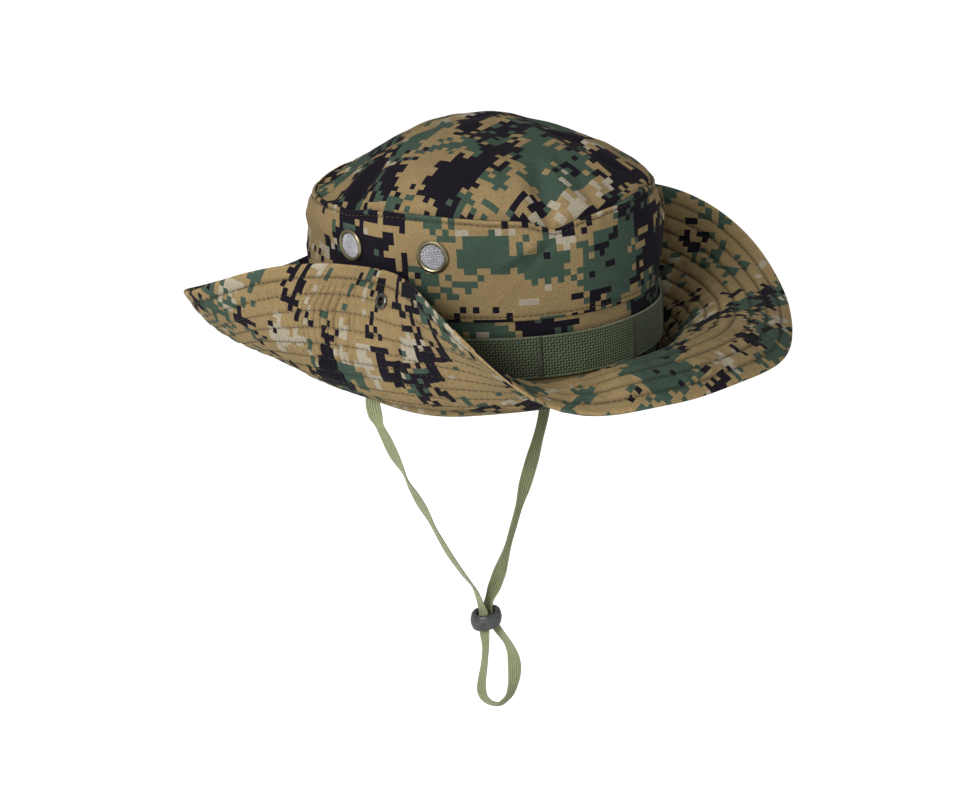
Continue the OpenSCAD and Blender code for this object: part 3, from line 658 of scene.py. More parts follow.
LIP = 0.35    # the wall's top edge stands this far above the seam
def wall_off(p, z):
    """Offset of the wall cloth from the plain oval, in mm."""
    h = z - 46.9; k = seam_z(p) + LIP - z
    u = p / (2 * PI)
    free = smooth(h, 1.5, 14) * smooth(k, 2.5, 12)
    rel = wall_relief(p, z) * free * (1 - near_vent(p, z, 15))
    bulge = 0.6 * np.sin(PI * np.clip(h / 53, 0, 1)) * (1 - near_vent(p, z, 20))
    # topstitched hem at the bottom, edge at the top
    o = rel + bulge - 0.30 * np.exp(-((h - 2.7) / 0.75) ** 2) + 0.16 * np.exp(-((k - 0.9) / 0.9) ** 2) - 0.36 * np.exp(-((k - 2.6) / 0.8) ** 2) \
        + 0.20 * np.exp(-((k - 4.6) / 1.4) ** 2)
    o = o + 0.20 * vnoise(u * 190, z / 4, 401, 190) * np.exp(-((h - 2.6) / 3.4) ** 2) + 0.42 * vnoise(u * 150, z / 6, 403, 150) * np.exp(-((k - 3.4) / 4.6) ** 2)
    nv = near_vent(p, z, 11)
    return (o - 0.02 + lean(p, z)) * (1 - nv) - 0.12 * nv


def wall_relief(p, z):
    l = wall_arc(p)
    u = p / (2 * PI)
    r = 1.3 * vnoise(u * 11, z / 34, 301, 11) + 0.8 * vnoise(u * 26 + z / 40, z / 22, 303, 26)
    # diagonal drag lines
    r = r + 0.55 * (1 - abs(vnoise(u * 22 + z / 30.0, z / 60.0, 307, 22))) ** 4
    r = r + 0.45 * (1 - abs(vnoise(u * 19 - z / 36.0, z / 60.0, 311, 19))) ** 4
    a = wall_arc(-PI / 2)
    # folds named by where they are: front corner, side corner, back corner
    r = r + fold(l, z, wall_arc(-0.62), 97, wall_arc(-0.98), 74, 3.2, 2.2)
    r = r - fold(l, z, wall_arc(-0.55), 97, wall_arc(-0.84), 70, 2.6, 1.6)
    r = r + fold(l, z, wall_arc(-2.55), 96, wall_arc(-2.32), 66, 3.4, 0.9)
    r = r - fold(l, z, wall_arc(-2.72), 96, wall_arc(-2.5), 60, 2.8, 0.8)
    r = r + fold(l, z, wall_arc(1.9), 95, wall_arc(2.3), 66, 3.4, 2.0)
    r = r + fold(l, z, wall_arc(0.7), 96, wall_arc(0.45), 68, 3.2, 1.8)
    r = r + fold(l, z, wall_arc(-0.35), 66, wall_arc(-0.05), 54, 2.6, 0.9)
    return r


def build_wall():
    nu = 440
    ls = np.arange(nu) * CIRC / nu
    ps = arc_angle(ls)
    zt = seam_z(ps)
    v = np.concatenate([np.linspace(0, 0.12, 9)[:-1], np.linspace(0.12, 0.86, 40)[:-1], np.linspace(0.86, 1.0, 14)])
    P, Vv = np.meshgrid(ps, v, indexing="ij")
    Z = 46.9 + (zt[:, None] + LIP - 46.9) * Vv
    h = Z - 46.9; k = zt[:, None] + LIP - Z
    off = wall_off(P, Z)
    # rounded edges top and bottom
    off = off - 0.35 * (1 - np.sqrt(np.clip(1 - np.clip(1 - h / 0.5, 0, 1) ** 2, 0, 1))) - 0.7 * (1 - np.sqrt(np.clip(1 - np.clip(1 - k / 0.7, 0, 1) ** 2, 0, 1)))
    outer = wall_pt(P, Z, off)
    inner = wall_pt(P, Z, off - 0.95)
    loop = np.concatenate([outer, inner[:, ::-1]], 1)
    L = np.concatenate([ls, [CIRC]])
    zz = np.concatenate([Z, Z[:1]], 0)
    uvo = np.stack([np.broadcast_to(L[:, None], zz.shape), zz], -1) * MM
    uv = np.concatenate([uvo, uvo[:, ::-1]], 1)
    uv = np.concatenate([uv, uv[:, :1]], 1)
    wear = np.exp(-(k / 1.0) ** 2) * 0.7 + np.exp(-(h / 0.7) ** 2) * 0.4
    # painted shade in the stitched dips of the hem and under the lip, and a little over the whole inner face
    painted_shade = np.exp(-((h - 2.7) / 0.8) ** 2) * 0.7 + np.exp(-((k - 2.6) / 0.9) ** 2) * 0.8
    at = lambda a, b: np.concatenate([a, b[:, ::-1]], 1)
    o = grid_obj("crown_wall_cloth", loop, uv, True, True, {"wear": at(wear, wear * 0), "painted_shade": at(painted_shade, painted_shade * 0 + 0.3)}, MAT_CROWN)
    cutters = [add_cutter("c%d" % i, wall_pt(np.array(a), np.array(VENT_Z), 0), [*wall_n(np.array(a)), 0], 7.35, 14) for i, a in enumerate(VENTS)]
    cut(o, cutters)
    # topstitching: one row above the lower hem, one under the lip
    bag = Bag()
    p2 = arc_angle(np.arange(1200) * CIRC / 1200)
    n3 = np.concatenate([wall_n(p2), np.zeros((1200, 1))], 1)
    for z in (np.full(1200, 49.6), seam_z(p2) + LIP - 2.6):
        stitches(bag, wall_pt(p2, z, wall_off(p2, z)), n3, 2.4, 0.7, 0.22, 0.16, closed=True)
    t = bag.obj("crown_seam_thread", MAT_THREAD)
    return o, t


def build_band():
    nu = 380
    ls = np.arange(nu) * CIRC / nu; ps = arc_angle(ls)
    z = np.concatenate([[0.2, 0.5], np.linspace(1.0, 36, 16), np.linspace(38, 50.5, 16)])
    P, Z = np.meshgrid(ps, z, indexing="ij")
    u = P / (2 * PI)
    rel = (0.35 * vnoise(u * 40, Z / 16, 501, 40)) * smooth(Z, 37, 42) * (1 - smooth(Z, 44, 47))
    outer = wall_pt(P, Z, -0.45 + rel)
    inner = wall_pt(P, Z, -1.35 + rel)
    loop = np.concatenate([outer, inner[:, ::-1]], 1)
    L = np.concatenate([ls, [CIRC]]); zz = np.concatenate([Z, Z[:1]], 0)
    uvo = np.stack([np.broadcast_to(L[:, None], zz.shape), zz], -1) * MM
    uv = np.concatenate([uvo, uvo[:, ::-1]], 1); uv = np.concatenate([uv, uv[:, :1]], 1)
    # painted shade just above the webbing's top edge and under the wall's lower edge, on both faces
    painted_shade = np.exp(-((Z - 39) / 1.5) ** 2) * 0.9 + np.exp(-((Z - 47.5) / 2.0) ** 2) * 0.6
    return grid_obj("crown_band_cloth", loop, uv, True, True, {"wear": np.zeros(loop.shape[:2]), "painted_shade": np.concatenate([painted_shade, painted_shade[:, ::-1]], 1)}, MAT_BAND)


# tucks of the crown top: angle, depth, width, how far in they reach, how much they bend
TUCKS = [(-38, 4.2, 5.0, 0.50, 20), (-106, 3.4, 5.0, 0.55, -12), (-19, 1.9, 4.0, 0.72, 8), (-62, 1.3, 5.0, 0.70, 7), (-84, 1.2, 6.0, 0.72, -8),
         (12, 2.2, 5.0, 0.62, -12), (46, 3.0, 6.0, 0.58, 12), (92, 2.0, 6.0, 0.62, -9), (128, 3.0, 6.0, 0.52, 14), (163, 2.4, 5.0, 0.6, -11),
         (-165, 2.6, 6.0, 0.6, 10), (-135, 3.2, 6.0, 0.46, -16)]


def top_height(r, p):
    """Height of the crown top at share r of the way out, in mm."""
    zt = seam_z(p) + 0.05
    # fuller over the near side, flatter at the back
    e = 0.95 - 0.22 * bell(p, -62, 45) - 0.02 * bell(p, 70, 50) + 0.42 * bell(p, -150, 38) + 0.24 * bell(p, 170, 30) + 0.16 * bell(p, 82, 26) - 0.26 * bell(p, 26, 20)
    x = 2.3 + 0.3 * bell(p, -62, 45) - 0.25 * bell(p, -160, 35) - 0.50 * bell(p, 26, 20)
    g = np.clip(1 - r ** x, 0, 1) ** e
    z = zt + (132.4 - zt) * g
    soft = smooth(r, 0.15, 0.5) * (1 - smooth(r, 0.93, 1.0))
    u = p / (2 * PI)
    z = z + soft * (1.5 * vnoise(u * 7, r * 3.0, 621, 7) + 0.9 * vnoise(u * 15, r * 5.0, 623, 15))
    for c, depth, width, r0, bend in TUCKS:
        d = (np.degrees(p) - c - bend * (1 - r) + 180) % 360 - 180
        s_ = np.radians(d) * 92 * r
        f = smooth(r, r0, 0.94) * (1 - 0.65 * smooth(r, 0.965, 1.0))
        z = z - depth * f * np.exp(-(s_ / width) ** 2) + 0.45 * depth * f * (np.exp(-((s_ - 2.0 * width) / (1.1 * width)) ** 2) + np.exp(-((s_ + 2.0 * width) / (1.1 * width)) ** 2))
    return z


def build_top():
    nr, nu = 34, 150
    rr = np.linspace(0, 1, nr + 1)[1:] ** 0.86
    ps = arc_angle(np.arange(nu) * CIRC / nu)
    R, P = np.meshgrid(rr, ps, indexing="ij")
    zt = seam_z(P)
    off = -1.2 + lean(P, zt)
    x = (WB + off) * R * np.sin(P); y = -(WA + off) * R * np.cos(P)
    z = top_height(R, P)
    V = np.stack([x, y, z], -1).reshape(-1, 3)
    c = np.array([[0, 0, float(np.mean(top_height(np.full(8, 0.0), np.linspace(0, 6, 8))))]])
    V = np.concatenate([V, c])
    # skirt that goes down behind the wall's edge
    sk = []
    for d in (1.2, 2.6):
        o_ = -1.2 + lean(ps, seam_z(ps)) - 0.12 * d
        sk.append(np.stack([(WB + o_) * np.sin(ps), -(WA + o_) * np.cos(ps), seam_z(ps) + 0.05 - d], -1))
    ns = len(V)
    Q, cu, cv = grid_faces(nr, nu, False, True)
    V = np.concatenate([V] + sk)
    e = (nr - 1) * nu
    k = np.arange(nu); k1 = (k + 1) % nu
    q1 = np.stack([e + k, ns + k, ns + k1, e + k1], -1)
    q2 = np.stack([ns + k, ns + nu + k, ns + nu + k1, ns + k1], -1)
    Q = np.concatenate([Q, q1, q2])
    T = np.stack([np.full(nu, nr * nu), k, k1], -1)
    # flat pattern coordinates, before any folding
    G = np.stack([x, y, z], -1)
    first = np.linalg.norm(G[:1] - c[0], axis=-1)
    run = np.concatenate([first, np.linalg.norm(np.diff(G, axis=0), axis=-1)], 0).cumsum(0)
    run = 0.5 * run + 0.5 * run.mean(1, keepdims=True)
    dx, dy = WB * np.sin(P), -WA * np.cos(P); dl = np.hypot(dx, dy)
    uvv = np.zeros((len(V), 2))
    uvv[:nr * nu] = np.stack([run * dx / dl, run * dy / dl], -1).reshape(-1, 2)
    for j_ in (0, 1):
        uvv[ns + j_ * nu:ns + (j_ + 1) * nu] = uvv[(nr - 1) * nu:nr * nu] * (1 + 0.012 * (j_ + 1))
    uvv = uvv * MM
    idx = np.concatenate([Q.ravel(), T.ravel()])
    o = mesh_obj("crown_top_cloth", V, Q, uvv[idx], None, MAT_TOP, T)
    return o, nr, nu


def simulate_top(o, nr, nu):
    """Soft oval of cloth, cut a little too big, that settles inside its seam."""
    vg = o.vertex_groups.new(name="pin")
    pins = [(nr - 1) * nu + k for k in range(nu)] + list(range(nr * nu + 1, len(o.data.vertices)))
    vg.add(pins, 1.0, "REPLACE")
    rest = np.array([v.co for v in o.data.vertices])
    # start slightly uneven, so that the folds have somewhere to begin
    co = rest.copy()
    r = np.linalg.norm(co[:, :2] / np.array([WB, WA]) / MM, axis=1)
    a = np.arctan2(co[:, 0], -co[:, 1])
    co[:, 2] += (1 - np.clip(r, 0, 1) ** 3) * (0.8 * vnoise(a / (2 * PI) * 7, r * 2.2, 601, 7) + 1.2 * vnoise(co[:, 0] * 38, co[:, 1] * 38, 603)) * MM
    o.data.vertices.foreach_set("co", co.astype(np.float32).ravel())
    m = o.modifiers.new("Cloth", "CLOTH")
    s = m.settings
    s.quality = 6
    s.mass = 0.16
    s.tension_stiffness = 40; s.compression_stiffness = 40; s.shear_stiffness = 8; s.bending_stiffness = 0.9
    s.tension_damping = 12; s.compression_damping = 12; s.shear_damping = 8; s.bending_damping = 1.5
    s.air_damping = 4
    s.vertex_group_mass = "pin"
    s.pin_stiffness = 1.0
    s.shrink_min = -0.010
    s.use_pressure = False
    s.uniform_pressure_force = 0.0
    s.effector_weights.gravity = 0.0
    m.collision_settings.use_self_collision = False
    m.collision_settings.use_collision = False
    m.point_cache.frame_start = 1; m.point_cache.frame_end = 30
    sc = bpy.context.scene
    sc.frame_start, sc.frame_end = 1, 30
    for f in range(1, 27):
        sc.frame_set(f)
    apply_mods(o)
    new = np.array([v.co for v in o.data.vertices])
    d = new - rest
    ln = np.linalg.norm(d, axis=1, keepdims=True)
    d = d * np.minimum(1, 0.0032 / np.maximum(ln, 1e-9))
    # the slack shows as folds, not as a taller crown
    d[:, 2] -= 2.3 * d[:, 2].mean() * (1 - np.clip(r, 0, 1) ** 4)
    o.data.vertices.foreach_set("co", (rest + d).astype(np.float32).ravel())
    sc.frame_set(1)
    return [round(float(v) * 1000, 2) for v in (ln.max(), np.median(ln), d[:, 2].mean(), d[:, 2].min(), d[:, 2].max())]


def finish_top(o):
    m = o.modifiers.new("sub", "SUBSURF"); m.levels = 2; m.render_levels = 2
    apply_mods(o)
    me = o.data
    co = np.array([v.co for v in me.vertices]) / MM
    no = np.array([v.normal for v in me.vertices])
    a = np.arctan2(co[:, 0] / WB, -co[:, 1] / WA)
    r = np.hypot(co[:, 0] / WB, co[:, 1] / WA)
    u = a / (2 * PI)
    edge = smooth(r, 0.86, 0.97)
    rel = 0.5 * edge * (vnoise(u * 120, r * 20, 611, 120)) * (1 - smooth(r, 0.975, 0.985))
    rel += 0.35 * (vnoise(co[:, 0] / 9, co[:, 1] / 9, 617)) * (1 - edge)
    co = co + no * rel[:, None]
    me.vertices.foreach_set("co", (co * MM).astype(np.float32).ravel())
    # painted shade round the rim, where the top tucks in behind the wall's edge
    for nme, val in (("wear", 0.15 * (1 - edge)), ("painted_shade", 0.55 * smooth(r, 0.955, 0.985))):
        at = me.attributes.new(nme, "FLOAT", "POINT"); at.data.foreach_set("value", val.astype(np.float32))
    me.update()
    m = o.modifiers.new("thick", "SOLIDIFY"); m.thickness = 0.0009; m.offset = -1.0 if no[np.argmax(co[:, 2])][2] > 0 else 1.0; m.use_even_offset = False
    apply_mods(o)


# ------------------------------------------------------------------ webbing, sweatband and small goods
def build_webbing():
    z0, w, t0, t1 = 16.0, 22.5, 0.08, 1.35
    pitch = 1.5
    ncell = int(CIRC / pitch) // 2 * 2
    per = 4
    nu = ncell * per
    ls = np.arange(nu) * CIRC / nu; ps = arc_angle(ls)
    rows = 15
    nv = rows * 4 + 1
    v = np.linspace(0, 1, nv)
    P, Vv = np.meshgrid(ps, v, indexing="ij")
    I = np.arange(nu)[:, None] / per
    J = Vv * rows
    # ribs one way over, the other way under: a coarse plain weave with a firm selvedge
    cx = np.abs(np.sin(PI * I)) ; cy = np.abs(np.sin(PI * J))
    par = np.where((np.floor(I) + np.floor(J)) % 2 == 0, 1.0, 0.0)
    h = par * (0.55 + 0.45 * cx) * cy ** 0.5 + (1 - par) * (0.55 + 0.45 * cy) * cx ** 0.5
    # deeper gaps where four threads meet; they get painted shade below
    corner = np.exp(-((np.minimum(I % 1, 1 - I % 1) / 0.2) ** 2)) * np.exp(-((np.minimum(J % 1, 1 - J % 1) / 0.2) ** 2))
    h = h - 0.5 * corner
    sel = np.exp(-((np.minimum(Vv, 1 - Vv) * w) / 0.7) ** 2)
    h = h * (1 - sel) + sel * (0.8 + 0.2 * np.abs(np.sin(PI * I * 2)))
    z = z0 + Vv * w
    # branch loops stand off a little between the bartacks, more so at the top edge
    ph = (np.degrees(P) + 7) / 36.0
    stand = 0.55 * np.sin(PI * (ph - np.floor(ph))) ** 2 * (0.5 + 0.5 * Vv)
    wob = 0.35 * vnoise(P / (2 * PI) * 24, Vv * 1.2, 701, 24) * 0.6
    off = t1 - 0.70 + 0.70 * h + stand + wob * 0.5
    z = z + 0.25 * vnoise(P / (2 * PI) * 16, 0.5, 705, 16)
    outer = wall_pt(P, z, off)
    inner = wall_pt(P, z, t0 + stand * 0.8 + 0.08)
    loop = np.concatenate([outer, inner[:, ::-1]], 1)
    # painted shade: the low places of the weave are painted near-black
    hole = np.clip(1.15 - 1.25 * h, 0, 1) ** 1.4 * (1 - sel)
    return grid_obj("webbing_band_woven", loop, None, True, True, {"hole": np.concatenate([hole, hole * 0], 1)}, MAT_WEB)


def build_tacks():
    bag = Bag()
    for i in range(10):
        p0 = math.radians(-7 + 36 * i)
        l0 = float(wall_arc((p0 + PI) % (2 * PI) - PI))
        n = 46
        k = np.arange(n)
        zz = 17.2 + (21.2) * k / (n - 1)
        ll = l0 + np.where(k % 2 == 0, -1.05, 1.05) * (0.9 + 0.2 * hash01(k, k * 0 + i, 9))
        # fine zigzag in three points per stroke, so that the thread arches over the webbing
        L2 = np.interp(np.linspace(0, n - 1, (n - 1) * 3 + 1), k, ll); Z2 = np.interp(np.linspace(0, n - 1, (n - 1) * 3 + 1), k, zz)
        arch = np.where(np.arange(len(L2)) % 3 == 0, -0.12, 0.14)
        pp = arc_angle(np.mod(L2, CIRC))
        pts = wall_pt(pp, Z2, 1.62 + arch)
        n3 = np.concatenate([wall_n(pp), np.zeros((len(pp), 1))], 1)
        bag.add(*tube(pts, 0.24, 6, up=n3))
        core_z = np.linspace(17.0, 38.6, 24)
        for dl in (-0.45, 0.45):
            pq = arc_angle(np.mod(np.full(24, l0 + dl), CIRC))
            bag.add(*tube(wall_pt(pq, core_z, 1.42), 0.3, 6, up=np.concatenate([wall_n(pq), np.zeros((24, 1))], 1)))
    return bag.obj("webbing_bartack_thread", MAT_TACK)


def build_screens():
    """Woven wire screens inside the vent rings."""
    bag = Bag()
    R, pitch, r = 6.42, 0.86, 0.25
    n = int(R / pitch)
    for a in VENTS:
        c = wall_pt(np.array(a), np.array(VENT_Z), 0.25)
        nn = np.array([*wall_n(np.array(a)), 0.0])
        ex = np.array([-nn[1], nn[0], 0.0]); ez = np.array([0, 0, 1.0])
        for d in (0, 1):
            for k in range(-n, n + 1):
                q = k * pitch
                hl = math.sqrt(max(R * R - q * q, 0.01))
                m = max(6, int(2 * hl / (pitch / 3)))
                t = np.linspace(-hl, hl, m)
                wv = 0.19 * np.cos(PI * t / pitch + PI * (k + d))
                e1, e2 = (ex, ez) if d == 0 else (ez, ex)
                pts = c + t[:, None] * e1 + q * e2 + (wv + 0.02)[:, None] * nn
                bag.add(*tube(pts, r, 5, up=nn))
    return bag.obj("vent_screen_mesh", MAT_SCREEN)


def build_sweatband():
    nu = 320
    sa, sb = WA - 2.8, WB - 2.8
    ls = np.arange(nu) * CIRC / nu; ps = arc_angle(ls)
    # folded strip: loop of the cross-section (offset, height)
    sec = np.array([(-0.05, -2.0), (0.0, 0), (-0.05, 8), (-0.1, 16), (-0.1, 24), (-0.1, 30), (-0.5, 31.8), (-1.0, 31.9), (-1.5, 30.5),
                    (-1.6, 24), (-1.7, 16), (-1.7, 8), (-1.6, 2), (-1.5, -1.0), (-1.2, -2.6), (-0.7, -3.0)], float)
    t = np.linspace(0, len(sec), len(sec) * 3, endpoint=False)
    so = np.interp(t, np.arange(len(sec) + 1), np.append(sec[:, 0], sec[0, 0])); sz = np.interp(t, np.arange(len(sec) + 1), np.append(sec[:, 1], sec[0, 1]))
    P, O = np.meshgrid(ps, so, indexing="ij"); Z = np.broadcast_to(sz, P.shape)
    w = np.where(O < -0.9, 0.35 * vnoise(P / (2 * PI) * 46, Z / 12, 801, 46), 0) - np.where(O < -0.9, 0.25, 0)
    n = wall_n(P)
    hang = 3.6 * bell(P, -80, 22) + 0.8 * vnoise(P / (2 * PI) * 13, 0.4, 805, 13)
    Z = Z - hang * (1 - smooth(Z, -3, 9))
    base = np.stack([sb * np.sin(P) + (O + w) * n[..., 0], -sa * np.cos(P) + (O + w) * n[..., 1], Z], -1)
    L = np.concatenate([ls, [CIRC]])
    up_ = np.concatenate([[0], np.cumsum(np.hypot(np.diff(so), np.diff(sz)))]); up_ = np.append(up_, up_[-1] + 1.0)
    uv = np.stack(np.meshgrid(L, up_, indexing="ij"), -1) * MM
    zero = np.zeros(base.shape[:2])
    # painted shade: the sweatband, inside the hat, is darkened all over
    o = grid_obj("sweatband_folded", base, uv, True, True, {"wear": zero, "painted_shade": zero + 0.25}, MAT_SWEAT)
    bag = Bag()
    p2 = arc_angle(np.arange(900) * CIRC / 900); n2 = wall_n(p2)
    for z in (28.6, 1.8):
        w = 0.35 * vnoise(p2 / (2 * PI) * 46, z / 12, 801, 46) - 0.25
        pts = np.stack([sb * np.sin(p2) + (-1.72 + w) * n2[:, 0], -sa * np.cos(p2) + (-1.72 + w) * n2[:, 1], np.full(900, z)], -1)
        stitches(bag, pts, np.concatenate([-n2, np.zeros((900, 1))], 1), 2.6, 0.7, 0.18, 0.14, closed=True)
    return o, bag.obj("sweatband_thread", MAT_THREAD)


def build_tapes():
    out = []
    for name, z0, z1 in (("top_seam_tape_woven", -6.4, -2.2), ("low_seam_tape_woven", 43.8, 53.4)):
        nu = 300
        ls = np.arange(nu) * CIRC / nu; ps = arc_angle(ls)
        v = np.concatenate([np.linspace(0, 1, 14), np.linspace(1, 0, 14)])
        o = np.concatenate([np.full(14, -1.5), np.full(14, -2.0)])
        P, V_ = np.meshgrid(ps, v, indexing="ij"); O = np.broadcast_to(o, P.shape)
        Z = z0 + (z1 - z0) * V_
        if z0 < 0:
            Z = Z + seam_z(P); O = O + lean(P, Z)
        r = 0.12 * np.sin(V_ * 40) * 0.4 + 0.15 * vnoise(P / (2 * PI) * 60, V_ * 2, 811, 60)
        out.append(grid_obj(name, wall_pt(P, Z, O - np.abs(r)), None, True, True, None, MAT_TAPE))
    return out


def build_label():
    sa, sb = WA - 2.8 + 0.3, WB - 2.8 + 0.3
    ps = PI + np.linspace(-16, 16, 40) / sa
    z = np.linspace(33.2, 50.8, 24)
    P, Z = np.meshgrid(ps, z, indexing="ij")
    w = 0.25 * vnoise(P * 8, Z / 9, 821) + 0.12 * np.sin((Z - 33) * 2.0)
    def pt(o): return np.stack([sb * np.sin(P), -(sa + o) * np.cos(P), Z], -1)
    loop = np.concatenate([pt(-0.25 + w), pt(-0.55 + w)[:, ::-1]], 1)
    o = grid_obj("size_label_blank", loop, None, False, True, None, MAT_LABEL, caps=True)
    return o


# ------------------------------------------------------------------ chin strap
STRAP_Y, PIVOT_Z, BEAD_Z, BEAD_Y, BEAD_H = 18.0, -7.0, -163.0, 12.2, 9.5
STRAP_X = WB * math.sqrt(1 - (STRAP_Y / WA) ** 2) - 1.4 - 0.75
ARM_L = PIVOT_Z - (BEAD_Z + BEAD_H / 2 + 1)


def curve(t, knots, values):
    """Smooth curve through a few values."""
    t = np.asarray(t, float); k = np.asarray(knots, float); v = np.asarray(values, float)
    m = np.gradient(v, k)
    i = np.clip(np.searchsorted(k, t, side="right") - 1, 0, len(k) - 2)
    h = k[i + 1] - k[i]; u = np.clip((t - k[i]) / h, 0, 1)
    return v[i] * (1 + 2 * u) * (1 - u) ** 2 + v[i + 1] * u * u * (3 - 2 * u) + h * (m[i] * u * (1 - u) ** 2 - m[i + 1] * u * u * (1 - u))


ARM_X = {-1: ([0, 0.06, 0.12, 0.2, 0.3, 0.434, 0.54, 0.717, 0.83, 0.895, 0.95, 1.0], [0, 0.7, 3.1, 7.7, 15.1, 26.2, 35.1, 51.1, 63.3, 70.7, 74.4, 77.3]),
         1: ([0, 0.15, 0.35, 0.45, 0.57, 0.72, 0.84, 0.92, 0.95, 0.975, 1.0], [0, 5.5, 17.1, 27.1, 38.9, 51.9, 62.1, 70.3, 73.9, 76.6, 77.3])}


def arm(t, s):
    t = np.asarray(t, float); tc = np.clip(t, 0, 1)
    y = BEAD_Y + (STRAP_Y - BEAD_Y) * (1 - tc) ** 4
    if s > 0:
        y = y - 5.6 * np.sin(PI * tc ** 0.72) ** 0.9      # the far side bows a little forward
    else:
        y = y + 2.3 * (1 - smooth(tc, 0.02, 0.15))        # and this one hangs a little behind its root
    return np.stack([s * (STRAP_X - curve(tc, *ARM_X[s])), y, PIVOT_Z - ARM_L * t], -1)


def ribbon(path, twist, width=7.8, thick=1.1, ribs=6, face=(1, 0, 0), wscale=None):
    """Flat ribbed braid along path (n,3); face is the direction its flat side looks at, turned by twist radians."""
    P = np.asarray(path, float); n = len(P)
    T = np.gradient(P, axis=0); T /= np.linalg.norm(T, axis=1, keepdims=True)
    F = np.broadcast_to(np.asarray(face, float), P.shape)
    F = F - (F * T).sum(1, keepdims=True) * T; F /= np.linalg.norm(F, axis=1, keepdims=True)
    S = np.cross(T, F)
    tw = np.broadcast_to(twist, (n,))
    c, s_ = np.cos(tw)[:, None], np.sin(tw)[:, None]
    F2 = F * c + S * s_; S2 = -F * s_ + S * c
    m = ribs * 6
    x = np.linspace(-1, 1, m + 1)
    rib = np.abs(np.sin((x + 1) / 2 * ribs * PI)) ** 0.7
    prof = 0.30 + 0.70 * rib
    edge = np.sqrt(np.clip(1 - np.abs(x) ** 8, 0, 1))
    top = np.stack([x, prof * edge], -1); bot = np.stack([x[::-1], -(prof * edge)[::-1]], -1)
    sec = np.concatenate([top[:-1], bot[:-1]])
    d = np.concatenate([[0], np.cumsum(np.linalg.norm(np.diff(P, axis=0), axis=1))])
    # the braid's little steps along its length
    step = 0.10 * np.sin(2 * PI * d[:, None] / 1.25 + (np.floor((sec[None, :, 0] + 1) / 2 * ribs - 1e-6) % 2) * PI)
    ws = np.ones(n) if wscale is None else wscale
    V = P[:, None] + (sec[None, :, 0] * width / 2 * ws[:, None])[..., None] * S2[:, None] \
        + ((sec[None, :, 1] * (thick / 2) * (1 + step) / ws[:, None] ** 0.5))[..., None] * F2[:, None]
    return V


def strap_obj(name, V):
    nu, nv = V.shape[:2]
    Q, _, _ = grid_faces(nu, nv, False, True)
    W = V.reshape(-1, 3)
    h = nv // 2
    # ends closed by strips across the section
    j = np.arange(1, h - 1)
    def cap(b, rev):
        q = np.stack([b + j, b + j + 1, b + (nv - j - 1) % nv, b + (nv - j) % nv], -1)
        t = np.array([[b, b + 1, b + nv - 1], [b + h, b + (h + 1), b + h - 1]])
        return (q[:, ::-1], t[:, ::-1]) if rev else (q, t)
    q0, t0 = cap(0, False); q1, t1 = cap((nu - 1) * nv, True)
    # painted shade in the grooves between the ribs
    x = np.arange(h) / h
    rib = np.abs(np.sin(x * 6 * PI)) ** 0.7
    g = np.clip(1.05 - 1.5 * rib, 0, 1) * 0.7
    hole = np.broadcast_to(np.concatenate([g, g]), (nu, nv)).reshape(-1)
    return mesh_obj(name, W, np.concatenate([Q, q0, q1]), None, {"hole": hole}, MAT_STRAP, np.concatenate([t0, t1]))


TOP_T = 13.0 / ARM_L     # share of the arm where the stretch with the bead begins


def keyed(t, knots, values):
    """Smooth steps through a few values."""
    t = np.asarray(t, float); k = np.asarray(knots, float); v = np.asarray(values, float)
    i = np.clip(np.searchsorted(k, t, side="right") - 1, 0, len(k) - 2)
    f = np.clip((t - k[i]) / (k[i + 1] - k[i]), 0, 1)
    return v[i] + (v[i + 1] - v[i]) * f * f * (3 - 2 * f)


def arm_twist(t, s):
    """Turns of the flat strap on its way down, with one narrow turn on the wearer's right."""
    if s < 0:
        return curve(t, [0, 0.03, 0.07, 0.12, 0.17, 0.213, 0.256, 0.294, 0.374, 0.434, 0.54, 0.614, 0.717, 0.814, 0.923, 0.965, 1],
                     [-0.62, -0.5, 0.2, 0.1, 0.0, 0.1, 0.4, 0.66, 0.26, 0.13, 0.47, 0.38, 0.29, 0.36, 0.47, 0.28, 0])
    return curve(t, [0, 0.12, 0.3, 0.45, 0.503, 0.567, 0.643, 0.72, 0.8, 0.85, 0.885, 0.925, 0.965, 1], [-0.3, -0.1, 0.0, -0.05, -0.5, -0.8, -1.5, -1.6, -1.55, -1.1, -0.6, -0.35, 0.1, 0])


def arm_narrow(t):
    """The braid is squeezed a little where it enters the bead."""
    return 1 - 0.17 * smooth(t, 0.925, 0.975)


